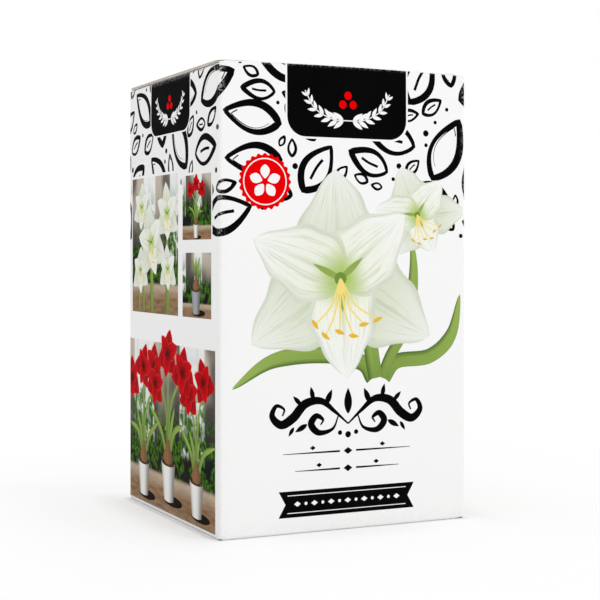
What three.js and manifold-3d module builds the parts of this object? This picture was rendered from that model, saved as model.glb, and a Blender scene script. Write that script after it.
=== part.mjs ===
// Folding carton for one large flower bulb.
// One sheet of micro-flute board makes the four-panel sleeve, the lid with its tuck flap, two dust
// flaps, the glue flap and the four flaps of the locked bottom. The bulb stands on the bottom.
// Millimetres. X runs along the front panel, Y into the depth (the front is at -Y), Z up.
// The origin is the middle of the footprint, on the surface that the carton stands on.

import * as THREE from "three";
import { mergeVertices } from "three/addons/utils/BufferGeometryUtils.js";
import Module from "manifold-3d";

const wasm = await Module();
wasm.setup();

// Driving dimensions: the carton
const WIDTH = 130; // outside, along the front panel
const DEPTH = 125; // outside, along the side panels
const HEIGHT = 215; // outside, closed
const BOARD = 1.2; // thickness of the board
const GAP = 0.3; // air between two layers
const FOLD_RADIUS = 1.8; // outside radius of the upright creases

// Driving dimensions: the lid and what it closes over
const LID_SIDE_INSET = 0.5; // the lid's cut sides, in from the side panels
const LID_CORNER = 1.5; // radius of the lid's rear corners
const TUCK_DEPTH = 20; // from the lid's top face to the flap's lower edge
const TUCK_SIDE_INSET = 3; // the tuck flap's sides, in from the lid's
const TUCK_CORNER = 9; // radius of its lower corners
const TUCK_LEAN = 9; // degrees that it leans inwards, so that it clears the front panel as it swings
const DUST_REACH = 50; // each dust flap, from the side panel's outer face
const DUST_FRONT_INSET = 6.8; // its front edge, from the front panel's outer face
const DUST_REAR_INSET = 3; // its rear corner at the crease, from the rear panel's outer face
const DUST_REAR_TAPER = 0.6; // how much its rear edge runs forward for each mm that it reaches in
const DUST_FRONT_TAPER = 0.08;
const DUST_CORNER = 8;

// Driving dimensions: the glue seam and the bottom
const GLUE_WIDTH = 15;
const GLUE_END_TAPER = 6;
const SEAM_STEP = 14; // half the step of the seam between the front and rear bottom flaps
const SEAM_RUN = 16; // half the width that the step takes
const SIDE_FLAP_REACH = 50; // the upper layer of the bottom, from the inside of the side panel
const SIDE_FLAP_TAPER = 22;
const SIDE_FLAP_CORNER = 6;

// Driving dimensions: the bulb, with heights counted from its basal plate
const BULB_RADIUS = 54;
const BULB_BASE_LIFT = 17; // the roots hold the basal plate this high above the bottom flaps
const BULB_SIDES = 48;
const BULB_RIB = 0.008; // height of the shallow ribs, as a share of the radius
const NECK_TOP = 124;
const NECK_SHIFT = 4; // the neck grows a little off the bulb's axis
const SCALE_RIMS = [17, 12, 7]; // radii of the neck's scales where they are cut across
const SCALE_THICKNESS = 1.5;
const SCALE_HOLLOW = 4; // depth of the gaps between them
const ROOT_COUNT = 22;
const ROOT_RADIUS = 1.9;
const ROOT_REACH = 33; // from the bulb's axis; every second root reaches further
const ROOT_REACH_STEP = 9;
const ROOT_SIDES = 7;
const ROOT_STEPS = 6;

// Levels and faces that follow from them
const SIDE_TOP = HEIGHT - 2 * (BOARD + GAP); // the side panels end under the dust flaps
const REAR_TOP = HEIGHT - (BOARD + GAP); // the rear panel ends under the lid
const DUST_TOP = REAR_TOP; // upper face of the dust flaps
const LAYER = BOARD + GAP; // from one layer of board to the next
const INNER_X = WIDTH / 2 - BOARD; // inner face of the side panels
const INNER_Y = DEPTH / 2 - BOARD; // inner face of the front and rear panels
const LID_FRONT = -(INNER_Y - GAP); // the lid's front crease, behind the front panel
const BOTTOM_TOP = LAYER + BOARD; // upper face of the bottom's upper layer

const PRINTED_BOARD = { color: 0xf2f2f0, roughness: 0.35, metalness: 0 };
const PLAIN_BOARD = { color: 0xe4e1da, roughness: 0.75, metalness: 0 };
const BULB_SKIN = { color: 0x8a5a32, roughness: 0.8, metalness: 0 };

const carton = new THREE.Group();

// ---- Helpers for closed solids ----

// A named mesh with a material of its own.
function piece(name, geometry, finish) {
  const mesh = new THREE.Mesh(geometry, new THREE.MeshStandardMaterial(finish));
  mesh.name = name;
  return mesh;
}

// An outline through the corners [x, y, radius], each rounded by its radius.
function roundedOutline(corners) {
  const outline = new THREE.Shape();
  corners.forEach(([x, y, radius], i) => {
    const corner = new THREE.Vector2(x, y);
    const [beforeX, beforeY] = corners.at(i - 1);
    const [afterX, afterY] = corners[(i + 1) % corners.length];
    const before = new THREE.Vector2(beforeX, beforeY).sub(corner).setLength(radius).add(corner);
    const after = new THREE.Vector2(afterX, afterY).sub(corner).setLength(radius).add(corner);
    if (i === 0) outline.moveTo(before.x, before.y);
    else outline.lineTo(before.x, before.y);
    if (radius > 0) outline.quadraticCurveTo(x, y, after.x, after.y);
  });
  outline.closePath();
  return outline;
}

// A flat panel: the outline in X and Y, raised from its lower face by the board's thickness.
function panel(corners, lowerFace) {
  const geometry = new THREE.ExtrudeGeometry(roundedOutline(corners), {
    depth: BOARD,
    bevelEnabled: false,
    curveSegments: 5,
  });
  return geometry.translate(0, 0, lowerFace);
}

// A solid for cutting and joining, from a closed geometry.
function solidOf(geometry) {
  const bare = geometry.clone();
  bare.deleteAttribute("normal");
  bare.deleteAttribute("uv");
  const merged = mergeVertices(bare, 1e-4);
  const corners = Array.from(merged.index.array);
  const kept = [];
  for (let i = 0; i < corners.length; i += 3) {
    const [a, b, c] = corners.slice(i, i + 3);
    if (a !== b && b !== c && c !== a) kept.push(a, b, c);
  }
  return new wasm.Manifold(
    new wasm.Mesh({
      numProp: 3,
      vertProperties: Float32Array.from(merged.attributes.position.array),
      triVerts: Uint32Array.from(kept),
    }),
  );
}

// The geometry of a solid that has been cut or joined.
function geometryOf(solid) {
  const mesh = solid.getMesh();
  const geometry = new THREE.BufferGeometry();
  geometry.setAttribute("position", new THREE.BufferAttribute(mesh.vertProperties, 3));
  geometry.setIndex(new THREE.BufferAttribute(mesh.triVerts, 1));
  geometry.computeVertexNormals();
  return geometry;
}

// A block between two corners, for cutting.
function block(low, high) {
  const size = high.map((value, i) => value - low[i]);
  const middle = high.map((value, i) => (value + low[i]) / 2);
  return solidOf(new THREE.BoxGeometry(...size).translate(...middle));
}

// ---- Sleeve: four panels round the bulb, the front one as high as the closed lid ----

function rectangle(halfWidth, halfDepth, radius) {
  const outline = new THREE.Shape();
  outline.absarc(halfWidth - radius, -halfDepth + radius, radius, -Math.PI / 2, 0);
  outline.absarc(halfWidth - radius, halfDepth - radius, radius, 0, Math.PI / 2);
  outline.absarc(-halfWidth + radius, halfDepth - radius, radius, Math.PI / 2, Math.PI);
  outline.absarc(-halfWidth + radius, -halfDepth + radius, radius, Math.PI, 1.5 * Math.PI);
  outline.closePath();
  return outline;
}

function sleeve() {
  const outline = rectangle(WIDTH / 2, DEPTH / 2, FOLD_RADIUS);
  outline.holes.push(rectangle(INNER_X, INNER_Y, FOLD_RADIUS - BOARD));
  const tube = solidOf(
    new THREE.ExtrudeGeometry(outline, { depth: HEIGHT, bevelEnabled: false, curveSegments: 6 }),
  );
  const sides = block([-WIDTH, -INNER_Y, SIDE_TOP], [WIDTH, INNER_Y, 2 * HEIGHT]);
  const rear = block([-WIDTH, INNER_Y, REAR_TOP], [WIDTH, DEPTH, 2 * HEIGHT]);
  return geometryOf(tube.subtract(sides).subtract(rear));
}

carton.add(piece("sleeve", sleeve(), PRINTED_BOARD));

// ---- Glue flap: carries on from the right panel and is glued inside the rear one ----

function glueFlap() {
  const right = INNER_X - GAP;
  const left = right - GLUE_WIDTH;
  const bottom = BOTTOM_TOP + 2 * GAP;
  const top = SIDE_TOP - GLUE_END_TAPER;
  const corners = [
    [left, bottom + GLUE_END_TAPER, 1],
    [right, bottom, 0],
    [right, top, 0],
    [left, top - GLUE_END_TAPER, 1],
  ];
  const upright = panel(corners, 0).rotateX(Math.PI / 2);
  return upright.translate(0, INNER_Y - GAP, 0);
}

carton.add(piece("glue_flap", glueFlap(), PLAIN_BOARD));

// ---- Locked bottom: front and rear flaps below, the two side flaps on top of them ----

const FLOOR_X = INNER_X - GAP;
const FLOOR_Y = INNER_Y - GAP;

// The stepped seam, from the left to the right; the offset moves it towards the rear.
function seam(offset) {
  return [
    [-FLOOR_X, -SEAM_STEP + offset, 0],
    [-SEAM_RUN, -SEAM_STEP + offset, 0],
    [SEAM_RUN, SEAM_STEP + offset, 0],
    [FLOOR_X, SEAM_STEP + offset, 0],
  ];
}

const frontFloor = [[FLOOR_X, -FLOOR_Y, 1], [-FLOOR_X, -FLOOR_Y, 1], ...seam(0)];
const rearFloor = [[FLOOR_X, FLOOR_Y, 1], [-FLOOR_X, FLOOR_Y, 1], ...seam(2 * GAP)];
carton.add(piece("bottom_flap_front", panel(frontFloor, 0), PLAIN_BOARD));
carton.add(piece("bottom_flap_rear", panel(rearFloor, 0), PLAIN_BOARD));

// A side flap of the bottom; side is -1 at the left and 1 at the right.
function sideFloor(side) {
  const crease = side * FLOOR_X;
  const free = side * (FLOOR_X - SIDE_FLAP_REACH);
  const half = FLOOR_Y - 1;
  const corners = [
    [crease, -half, 1],
    [crease, half, 1],
    [free, half - SIDE_FLAP_TAPER, SIDE_FLAP_CORNER],
    [free, -half + SIDE_FLAP_TAPER, SIDE_FLAP_CORNER],
  ];
  return panel(corners, LAYER);
}

carton.add(piece("bottom_flap_left", sideFloor(-1), PLAIN_BOARD));
carton.add(piece("bottom_flap_right", sideFloor(1), PLAIN_BOARD));

// ---- Lid: turns on the rear panel's top crease ----

const LID_HALF = WIDTH / 2 - LID_SIDE_INSET;
const lidCorners = [
  [-LID_HALF, LID_FRONT, 0],
  [LID_HALF, LID_FRONT, 0],
  [LID_HALF, DEPTH / 2, LID_CORNER],
  [-LID_HALF, DEPTH / 2, LID_CORNER],
];
carton.add(piece("lid", panel(lidCorners, HEIGHT - BOARD), PRINTED_BOARD));

// ---- Tuck flap: turns on the lid's front crease, and leans inwards behind the front panel ----

function tuckFlap() {
  const half = LID_HALF - TUCK_SIDE_INSET;
  const top = -(BOARD + 2 * GAP);
  const corners = [
    [-half, -TUCK_DEPTH, TUCK_CORNER],
    [half, -TUCK_DEPTH, TUCK_CORNER],
    [half, top, 0],
    [-half, top, 0],
  ];
  const upright = panel(corners, 0).rotateX(Math.PI / 2);
  return upright.translate(0, GAP + BOARD, 0);
}

const tuckCrease = new THREE.Group();
tuckCrease.position.set(0, LID_FRONT - GAP, HEIGHT);
tuckCrease.rotation.x = THREE.MathUtils.degToRad(TUCK_LEAN);
tuckCrease.add(piece("tuck_flap", tuckFlap(), PRINTED_BOARD));
carton.add(tuckCrease);

// ---- Dust flaps: turn on the side panels' top creases, and lie under the lid ----

// The rear edge runs forward faster than the lid, which opens first, can catch it.
function dustFlap(side) {
  const crease = (side * WIDTH) / 2;
  const free = side * (WIDTH / 2 - DUST_REACH);
  const front = -DEPTH / 2 + DUST_FRONT_INSET;
  const rear = DEPTH / 2 - DUST_REAR_INSET;
  const corners = [
    [crease, front, 0],
    [crease, rear, 0],
    [free, rear - DUST_REAR_TAPER * DUST_REACH, DUST_CORNER],
    [free, front + DUST_FRONT_TAPER * DUST_REACH, DUST_CORNER],
  ];
  return panel(corners, DUST_TOP - BOARD);
}

carton.add(piece("dust_flap_left", dustFlap(-1), PLAIN_BOARD));
carton.add(piece("dust_flap_right", dustFlap(1), PLAIN_BOARD));

// ---- Bulb: a squat globe with a cut neck and a crown of dried roots, grown as one piece ----

// Repeatable small variations from -1 to 1.
function vary(index, salt) {
  const wave = Math.sin(index * 12.9898 + salt * 78.233) * 43758.5453;
  return 2 * (wave - Math.floor(wave)) - 1;
}

// Half of the bulb's section: up the outside, then over the cut ends of the neck's scales.
function bulbSection() {
  const outside = new THREE.SplineCurve([
    new THREE.Vector2(19, 0),
    new THREE.Vector2(36, 9),
    new THREE.Vector2(50, 26),
    new THREE.Vector2(BULB_RADIUS, 45),
    new THREE.Vector2(48, 65),
    new THREE.Vector2(33, 82),
    new THREE.Vector2(22, 95),
    new THREE.Vector2(18.5, 110),
    new THREE.Vector2(18, NECK_TOP),
  ]);
  const section = [new THREE.Vector2(0, -1), new THREE.Vector2(15, -1), ...outside.getPoints(32)];
  for (const rim of SCALE_RIMS) {
    section.push(new THREE.Vector2(rim, NECK_TOP));
    section.push(new THREE.Vector2(rim - SCALE_THICKNESS, NECK_TOP - SCALE_HOLLOW));
    section.push(new THREE.Vector2(rim - 2 * SCALE_THICKNESS, NECK_TOP - SCALE_HOLLOW));
  }
  section.push(new THREE.Vector2(0, NECK_TOP - 1));
  return section;
}

// The globe with its shallow ribs, and the neck a little off the axis.
function bulbGlobe() {
  const geometry = new THREE.LatheGeometry(bulbSection(), BULB_SIDES).rotateX(Math.PI / 2);
  const points = geometry.attributes.position;
  for (let i = 0; i < points.count; i++) {
    const [x, y, z] = [points.getX(i), points.getY(i), points.getZ(i)];
    const turn = Math.atan2(y, x);
    const ribs = BULB_RIB * (Math.cos(7 * turn + z / 40) + 0.75 * Math.cos(4 * turn - z / 60));
    const lean = NECK_SHIFT * THREE.MathUtils.smoothstep(z, BULB_RADIUS, NECK_TOP);
    points.setXYZ(i, x * (1 + ribs) + lean, y * (1 + ribs), z);
  }
  return solidOf(geometry);
}

// One root: out of the basal plate, down, and along the bottom of the carton.
function root(index) {
  const turn = (index / ROOT_COUNT) * 2 * Math.PI + 0.12 * vary(index, 1);
  const thickness = ROOT_RADIUS * (1 + 0.2 * vary(index, 2));
  const reach = ROOT_REACH + (index % 2) * ROOT_REACH_STEP + 4 * vary(index, 3);
  const lowest = thickness - BULB_BASE_LIFT;
  const bend = 0.25 * vary(index, 4);
  const along = (radius, height, angle) =>
    new THREE.Vector3(radius * Math.cos(angle), radius * Math.sin(angle), height);
  const path = new THREE.CatmullRomCurve3([
    along(0.3 * reach, 4, turn),
    along(0.5 * reach, -4, turn),
    along(0.72 * reach, 0.55 * lowest, turn + 0.3 * bend),
    along(reach, lowest, turn + bend),
  ]);
  const round = new THREE.Shape();
  for (let k = 0; k < ROOT_SIDES; k++) {
    const angle = (k / ROOT_SIDES) * 2 * Math.PI;
    const [x, y] = [thickness * Math.cos(angle), thickness * Math.sin(angle)];
    if (k === 0) round.moveTo(x, y);
    else round.lineTo(x, y);
  }
  round.closePath();
  return solidOf(new THREE.ExtrudeGeometry(round, { extrudePath: path, steps: ROOT_STEPS }));
}

function bulb() {
  let whole = bulbGlobe();
  for (let index = 0; index < ROOT_COUNT; index++) whole = whole.add(root(index));
  return geometryOf(whole).translate(0, 0, BOTTOM_TOP + GAP + BULB_BASE_LIFT);
}

carton.add(piece("bulb", bulb(), BULB_SKIN));

export default carton;
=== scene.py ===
"""The looks of a printed folding carton that holds one large flower bulb.

The sleeve comes first, then its print, the bottom, the bulb, the dust flaps, the lid and the tuck flap, as
they are put together. Lengths are in metres, and MM turns millimetres into them.
"""

import math
import random
from functools import partial

import bmesh
import bpy
import numpy as np
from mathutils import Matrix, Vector
from mathutils.kdtree import KDTree


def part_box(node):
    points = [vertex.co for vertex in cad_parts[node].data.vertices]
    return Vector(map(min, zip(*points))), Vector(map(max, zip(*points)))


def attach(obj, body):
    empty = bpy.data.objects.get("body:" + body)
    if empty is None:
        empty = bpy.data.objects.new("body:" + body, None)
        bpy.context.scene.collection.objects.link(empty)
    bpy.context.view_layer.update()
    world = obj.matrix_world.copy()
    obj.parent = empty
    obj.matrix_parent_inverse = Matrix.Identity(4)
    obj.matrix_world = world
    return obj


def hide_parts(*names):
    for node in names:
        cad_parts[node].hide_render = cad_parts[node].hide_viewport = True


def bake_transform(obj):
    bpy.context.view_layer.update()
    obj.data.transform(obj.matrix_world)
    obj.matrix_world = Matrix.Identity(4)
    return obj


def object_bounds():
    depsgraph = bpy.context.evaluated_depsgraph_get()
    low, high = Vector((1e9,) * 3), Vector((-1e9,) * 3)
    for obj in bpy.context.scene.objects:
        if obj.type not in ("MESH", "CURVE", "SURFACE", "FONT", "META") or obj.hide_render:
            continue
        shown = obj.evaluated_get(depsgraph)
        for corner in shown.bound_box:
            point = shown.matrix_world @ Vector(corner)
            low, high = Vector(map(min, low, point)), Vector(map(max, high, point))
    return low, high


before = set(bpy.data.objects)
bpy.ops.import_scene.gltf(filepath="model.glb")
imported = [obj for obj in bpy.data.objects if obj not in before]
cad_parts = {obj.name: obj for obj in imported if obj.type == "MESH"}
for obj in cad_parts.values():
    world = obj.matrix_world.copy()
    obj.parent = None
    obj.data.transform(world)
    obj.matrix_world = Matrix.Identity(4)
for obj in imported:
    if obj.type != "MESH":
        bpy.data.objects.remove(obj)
cad_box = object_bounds()
MM = 0.001

# ---- Studio ----
# A pale floor that runs off into a white surround. A wide soft light stands at the front right, a weaker one
# hangs above and a small one lifts the left side. The camera is level, a little above the carton's middle.

CAMERA_PLACE = (-299.6 * MM, -636.6 * MM, 126.2 * MM)
CAMERA_TURN = 25.58  # degrees, from looking straight at the front panel
CAMERA_LENS = 83.94
CAMERA_SHIFT = -0.0723
CAMERA_NEAR = 10 * MM  # nothing nearer is seen
GLOW_LEFT, GLOW_RIGHT = 0.51, 0.98  # the surround's light from the left and from the right
FLOOR_REACH = 6.0
FLOOR_GLOW = ((0, 0.0), (3, 0.5), (25, 0.76), (110, 0.93), (220, 1.0))  # mm from the carton, share of white
FLOOR_LIT = FLOOR_GLOW[-1][0] * MM  # beyond it the floor is plain white
LIGHTS = (  # name, place, aim, size, power
    ("key", (0.5, -1.1, 1.25), (0, 0, 0.1), 1.1, 6),
    ("top", (0.1, 0.1, 1.9), (0, 0, 0), 1.6, 1.5),
    ("side", (-0.38, -0.05, 0.40), (-0.07, 0, 0.2), 0.25, 0.22),
)


def added(name, data):
    """A new object with that data, in the scene."""
    item = bpy.data.objects.new(name, data)
    bpy.context.scene.collection.objects.link(item)
    return item


class Shading:
    """A small builder for the shader nodes of a material or of the surround."""

    def __init__(self, owner):
        owner.use_nodes = True
        self.nodes, self.links = owner.node_tree.nodes, owner.node_tree.links

    def node(self, kind, inputs=(), **settings):
        made = self.nodes.new("ShaderNode" + kind)
        for key, value in settings.items():
            setattr(made, key, value)
        for key, value in dict(inputs).items():
            self.join(value, made.inputs[key])
        return made

    def join(self, value, socket):
        """Links a socket to another one, or gives it a number or a colour."""
        if isinstance(value, bpy.types.NodeSocket):
            self.links.new(value, socket)
        elif isinstance(value, tuple) and len(value) == 3 and socket.type == "RGBA":
            socket.default_value = (*value, 1.0)
        else:
            socket.default_value = value

    def math(self, operation, a, b=0.0, c=0.0):
        return self.node("Math", {0: a, 1: b, 2: c}, operation=operation).outputs[0]

    def times(self, a, b):
        return self.math("MULTIPLY", a, b)

    def ramp(self, value, low, high, to_low=0.0, to_high=1.0, kind="SMOOTHSTEP"):
        inputs = {"Value": value, 1: low, 2: high, 3: to_low, 4: to_high}
        return self.node("MapRange", inputs, interpolation_type=kind).outputs[0]


class Material(Shading):
    """A material round one Principled shader."""

    def __init__(self, name, **sockets):
        self.material = bpy.data.materials.new(name)
        super().__init__(self.material)
        self.shader = self.nodes["Principled BSDF"]
        for socket, value in sockets.items():
            self.set(socket.replace("_", " "), value)

    def set(self, socket, value):
        self.join(value, self.shader.inputs[socket])

    def value(self, name):
        """A number that the mesh carries at its points."""
        return self.node("Attribute", attribute_name=name).outputs["Fac"]

    def place(self):
        return self.node("TexCoord").outputs["Object"]

    def spot(self, x, y, z=0.0):
        return self.node("CombineXYZ", {0: x, 1: y, 2: z}).outputs[0]

    def noise(self, scale, detail=2.0, place=None, stretch=None, rough=0.5):
        spot = place or self.place()
        if stretch:
            spot = self.node("Mapping", {"Vector": spot, "Scale": stretch}).outputs[0]
        inputs = {"Vector": spot, "Scale": scale, "Detail": detail, "Roughness": rough}
        return self.node("TexNoise", inputs).outputs["Fac"]

    def mix(self, share, a, b):
        return self.node("Mix", {0: share, 6: a, 7: b}, data_type="RGBA").outputs[2]

    def layered(self, colour, *layers):
        """The colour under layers of others, each with its share."""
        for share, over in layers:
            colour = self.mix(share, colour, over)
        return colour

    def bump(self, height, distance, below=None):
        inputs = {"Height": height, "Distance": distance}
        if below is not None:
            inputs["Normal"] = below
        return self.node("Bump", inputs).outputs[0]


def camera():
    data = bpy.data.cameras.new("camera")
    data.lens = CAMERA_LENS
    data.shift_y = CAMERA_SHIFT
    data.clip_start = CAMERA_NEAR
    item = added("camera", data)
    item.location = CAMERA_PLACE
    item.rotation_euler = (math.pi / 2, 0, -math.radians(CAMERA_TURN))
    bpy.context.scene.camera = item


def soft_light(name, place, aim, size, power):
    data = bpy.data.lights.new(name, "AREA")
    data.shape = "DISK"
    data.size = size
    data.energy = power
    item = added(name, data)
    item.location = place
    item.rotation_euler = (Vector(place) - Vector(aim)).to_track_quat("Z", "Y").to_euler()
    item.visible_camera = False


def surround():
    """White to the camera, and a softer white as light, weaker from the left."""
    world = bpy.data.worlds.new("surround")
    bpy.context.scene.world = world
    g = Shading(world)
    g.nodes.clear()
    side = g.node("SeparateXYZ", {0: g.node("TexCoord").outputs["Generated"]}).outputs["X"]
    light = g.node("Background", {"Color": g.ramp(side, -1, 1, GLOW_LEFT, GLOW_RIGHT, "LINEAR")})
    seen = g.node("Background", {"Color": (1, 1, 1)})
    is_camera = g.node("LightPath").outputs["Is Camera Ray"]
    both = g.node("MixShader", {0: is_camera, 1: light.outputs[0], 2: seen.outputs[0]})
    g.node("OutputWorld", {"Surface": both.outputs[0]})


def floor_white():
    """Matt white that takes the carton's shadow near it, and glows plain white further off."""
    m = Material("floor_white", Base_Color=(0.96, 0.96, 0.96), Roughness=0.9, Specular_IOR_Level=0.1)
    apart = m.node("SeparateXYZ", {0: m.place()}).outputs
    past = [m.math("SUBTRACT", m.math("ABSOLUTE", apart[k]), cad_box[1][k]) for k in range(2)]
    glow = m.node("ValToRGB", {0: m.ramp(m.math("MAXIMUM", *past), 0, FLOOR_LIT, kind="LINEAR")})
    stops = glow.color_ramp.elements
    glow.color_ramp.interpolation = "EASE"
    for away, _ in FLOOR_GLOW[1:-1]:
        stops.new(away * MM / FLOOR_LIT)
    for stop, (away, share) in zip(stops, FLOOR_GLOW):
        stop.position = away * MM / FLOOR_LIT
        stop.color = (share, share, share, 1)
    both = m.node("MixShader", {0: glow.outputs[0], 1: m.shader.outputs[0], 2: m.node("Emission").outputs[0]})
    m.join(both.outputs[0], m.nodes["Material Output"].inputs["Surface"])
    return m.material


def floor():
    mesh = bpy.data.meshes.new("floor")
    r = FLOOR_REACH
    mesh.from_pydata([(-r, -r, 0), (r, -r, 0), (r, r, 0), (-r, r, 0)], [], [(0, 1, 2, 3)])
    mesh.materials.append(floor_white())
    added("floor", mesh)


camera()
surround()
floor()
for values in LIGHTS:
    soft_light(*values)
bpy.context.scene.view_settings.view_transform = "Standard"

# ---- Sleeve ----
# One sheet of white-lined micro-flute board, folded at four upright creases: from the rear panel's raw edge
# round by the left, the front and the right panel to the glue flap, which is stuck behind the rear panel. The
# panels belly out a little between the creases, and at the bottom the board rolls under into the flaps.

_, (HALF_WIDTH, HALF_DEPTH, TOP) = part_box("sleeve")
LID_LOW, LID_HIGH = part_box("lid")
GLUE_LOW, GLUE_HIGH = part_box("glue_flap")
BOARD = LID_HIGH.z - LID_LOW.z
FOLD = 1.8 * MM  # outside radius of the upright creases
BELLY = 0.6 * MM  # how far a panel's middle stands out from its creases
BELLY_LOW, BELLY_HIGH = 60 * MM, 40 * MM  # at the bottom and the top the belly fades over these heights
PRINT_ROOM = 0.2 * MM  # kept free outside the board for the films of ink
BOTTOM_FOLD = 1.5 * MM
TOP_FOLD = 1.6 * MM
LID_CREST = TOP - 0.15 * MM
CROWN = 0.8 * MM  # how much lower the lid's edges lie than its middle
DUST_CREST = LID_CREST - CROWN - BOARD - 0.25 * MM
FRONT_CREST = TOP - 0.75 * MM
CREASE_BAND = 5 * MM  # height of the strip that bends with a flap, below the crest
CREASE_END = 3 * MM  # the bending strips end this far from the upright folds
SLIT = 0.15 * MM
GLUE_PLAY = 0.1 * MM
GLUE_TAPER = 6 * MM
GLUE_START = 2 * MM  # height at which the fold beside the glue flap begins
DIP = 0.4 * MM  # how much lower the upper edge lies at the corners
DOUBLE = 1e-7  # points nearer than this are one
WIDE = HALF_WIDTH - BELLY - PRINT_ROOM
DEEP = HALF_DEPTH - BELLY - PRINT_ROOM
ARC = FOLD * math.pi / 2
UNDER = BOTTOM_FOLD * math.pi / 2
STRETCHES = (  # the sheet's panels and folds in order, with their lengths
    ("rear", 2 * WIDE - FOLD),
    ("fold", ARC),
    ("left", 2 * (DEEP - FOLD)),
    ("fold", ARC),
    ("front", 2 * (WIDE - FOLD)),
    ("fold", ARC),
    ("right", 2 * (DEEP - FOLD) - BOARD - GLUE_PLAY),
    ("fold", ARC),
    ("glue", WIDE - FOLD - GLUE_LOW.x),
)


def walked():
    """Where each stretch starts: its run along the sheet, its corner seen from above and its heading."""
    before_front = sum(length for _, length in STRETCHES[:4])
    run = -before_front - STRETCHES[4][1] / 2
    place, heading = np.array([WIDE, DEEP]), np.array([-1.0, 0.0])
    for kind, length in STRETCHES:
        yield kind, length, run, place, heading
        if kind == "fold":
            left = np.array([-heading[1], heading[0]])
            place = place + FOLD * (heading + left)
            heading = left
        else:
            place = place + heading * length
        run += length


PLAN = list(walked())
LENGTHS, STARTS = (np.array([stretch[k] for stretch in PLAN]) for k in (1, 2))
PANEL = {kind: (run, length) for kind, length, run, _, _ in PLAN if kind != "fold"}
MIDDLE = {kind: run + length / 2 for kind, (run, length) in PANEL.items()}


def steps(low, high, count):
    """Evenly spaced numbers from low to high, with so many steps between them."""
    return np.linspace(low, high, count + 1)


def evened(*values):
    """The values as arrays of one shape."""
    return np.broadcast_arrays(*(np.asarray(v, float) for v in values))


def grid(*parts):
    """Points from their coordinates."""
    return np.stack(evened(*parts), axis=-1)


def peak(off, width):
    """1 where off is 0, falling to 0 on both sides."""
    return np.exp(-((off / width) ** 2))


def belly(share, height):
    """How far a panel stands out from its creases, at that share of its half width and that height."""
    across = 1 - np.clip(share, -1, 1) ** 2
    low = 1 - 0.9 * np.clip(1 - height / BELLY_LOW, 0, 1) ** 2
    high = 1 - 0.5 * np.clip((height - TOP + BELLY_HIGH) / BELLY_HIGH, 0, 1) ** 2
    return BELLY * across * low * high


def upright(run, height, lift=0.0):
    """Points of the standing board. run goes along the sheet from the middle of the front panel, to the right
    as seen from outside; lift is off the printed face, and minus into the board."""
    run, height, lift = evened(run, height, lift)
    out = grid(0 * run, 0 * run, height)
    for k, (kind, length, start, place, heading) in enumerate(PLAN):
        first = -np.inf if k == 0 else start
        last = np.inf if k == len(PLAN) - 1 else start + length
        here = ((run >= first) & (run < last))[..., None]
        u = run - start
        normal = np.array([heading[1], -heading[0]])
        if kind == "fold":
            turn = (u / FOLD)[..., None]
            spoke = np.cos(turn) * normal + np.sin(turn) * heading
            plan = place - FOLD * normal + (FOLD + lift)[..., None] * spoke
        else:
            bulge = 0 if kind == "glue" else belly(2 * u / length - 1, height)
            plan = place + u[..., None] * heading + (bulge + lift)[..., None] * normal
        out[..., :2] = np.where(here, plan, out[..., :2])
    return out


def rolled_under(run, along, lift):
    """The standing board from its end under the carton, round the bottom fold and up the wall."""
    angle = np.clip(math.pi / 2 - along / BOTTOM_FOLD, 0, math.pi / 2)
    inward = -BOTTOM_FOLD + (BOTTOM_FOLD + lift) * np.cos(angle)
    rise = BOTTOM_FOLD - (BOTTOM_FOLD + lift) * np.sin(angle)
    height = rise + np.maximum(along - UNDER, 0)
    points = upright(run, np.maximum(height, BOTTOM_FOLD), inward)
    points[..., 2] = height
    return points


def printed(m, colour, bare=(0.80, 0.79, 0.75), most=0.7, shine=0.004):
    """What print and bare coated board share: the colour, broken by bare fibre where the board is creased or
    knocked, under a satin skin over faint flutes and fine fibre."""
    worn = m.times(m.value("wear"), m.ramp(m.noise(900, 4), 0.46, 0.60))
    m.set("Base Color", m.mix(m.times(worn, most), colour, bare))
    flutes = m.node("TexWave", {"Vector": m.place(), "Scale": 110.0, "Distortion": 0.4}, bands_direction="Z")
    waves = m.bump(flutes.outputs["Fac"], 0.006 * MM)
    m.set("Normal", m.bump(m.noise(1500, 2), 0.004 * MM, below=waves))
    m.set("Roughness", m.ramp(m.noise(70, 3), 0.3, 0.7, 0.34, 0.44))
    m.set("Specular IOR Level", shine)
    return m.material


def coated_white():
    m = Material("coated_white")
    tone = m.mix(m.noise(18, 1), (0.905, 0.905, 0.900), (0.920, 0.920, 0.916))
    return printed(m, tone, bare=(0.78, 0.77, 0.74), most=0.4, shine=0.35)


def inner_liner():
    """Uncoated recycled liner: warm grey-white, with long fibres and darker specks."""
    m = Material("inner_liner", Roughness=0.85, Specular_IOR_Level=0.25)
    fibre = m.noise(420, 4, stretch=(1, 1, 0.25))
    speck = m.times(m.ramp(m.noise(1300, 2), 0.66, 0.74), 0.5)
    tone = m.mix(fibre, (0.60, 0.565, 0.51), (0.74, 0.71, 0.66))
    m.set("Base Color", m.mix(speck, tone, (0.38, 0.33, 0.27)))
    m.set("Normal", m.bump(fibre, 0.05 * MM))
    return m.material


FLUTE_PITCH = 2.2 * MM
FLUTE_SUNK = 0.12 * MM  # how deep the fluting lies below the two liners' cut edges
EDGE_LAYERS = ((0.0, 0), (0.14, 0), (0.22, FLUTE_SUNK), (0.78, FLUTE_SUNK), (0.86, 0), (1.0, 0))


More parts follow.
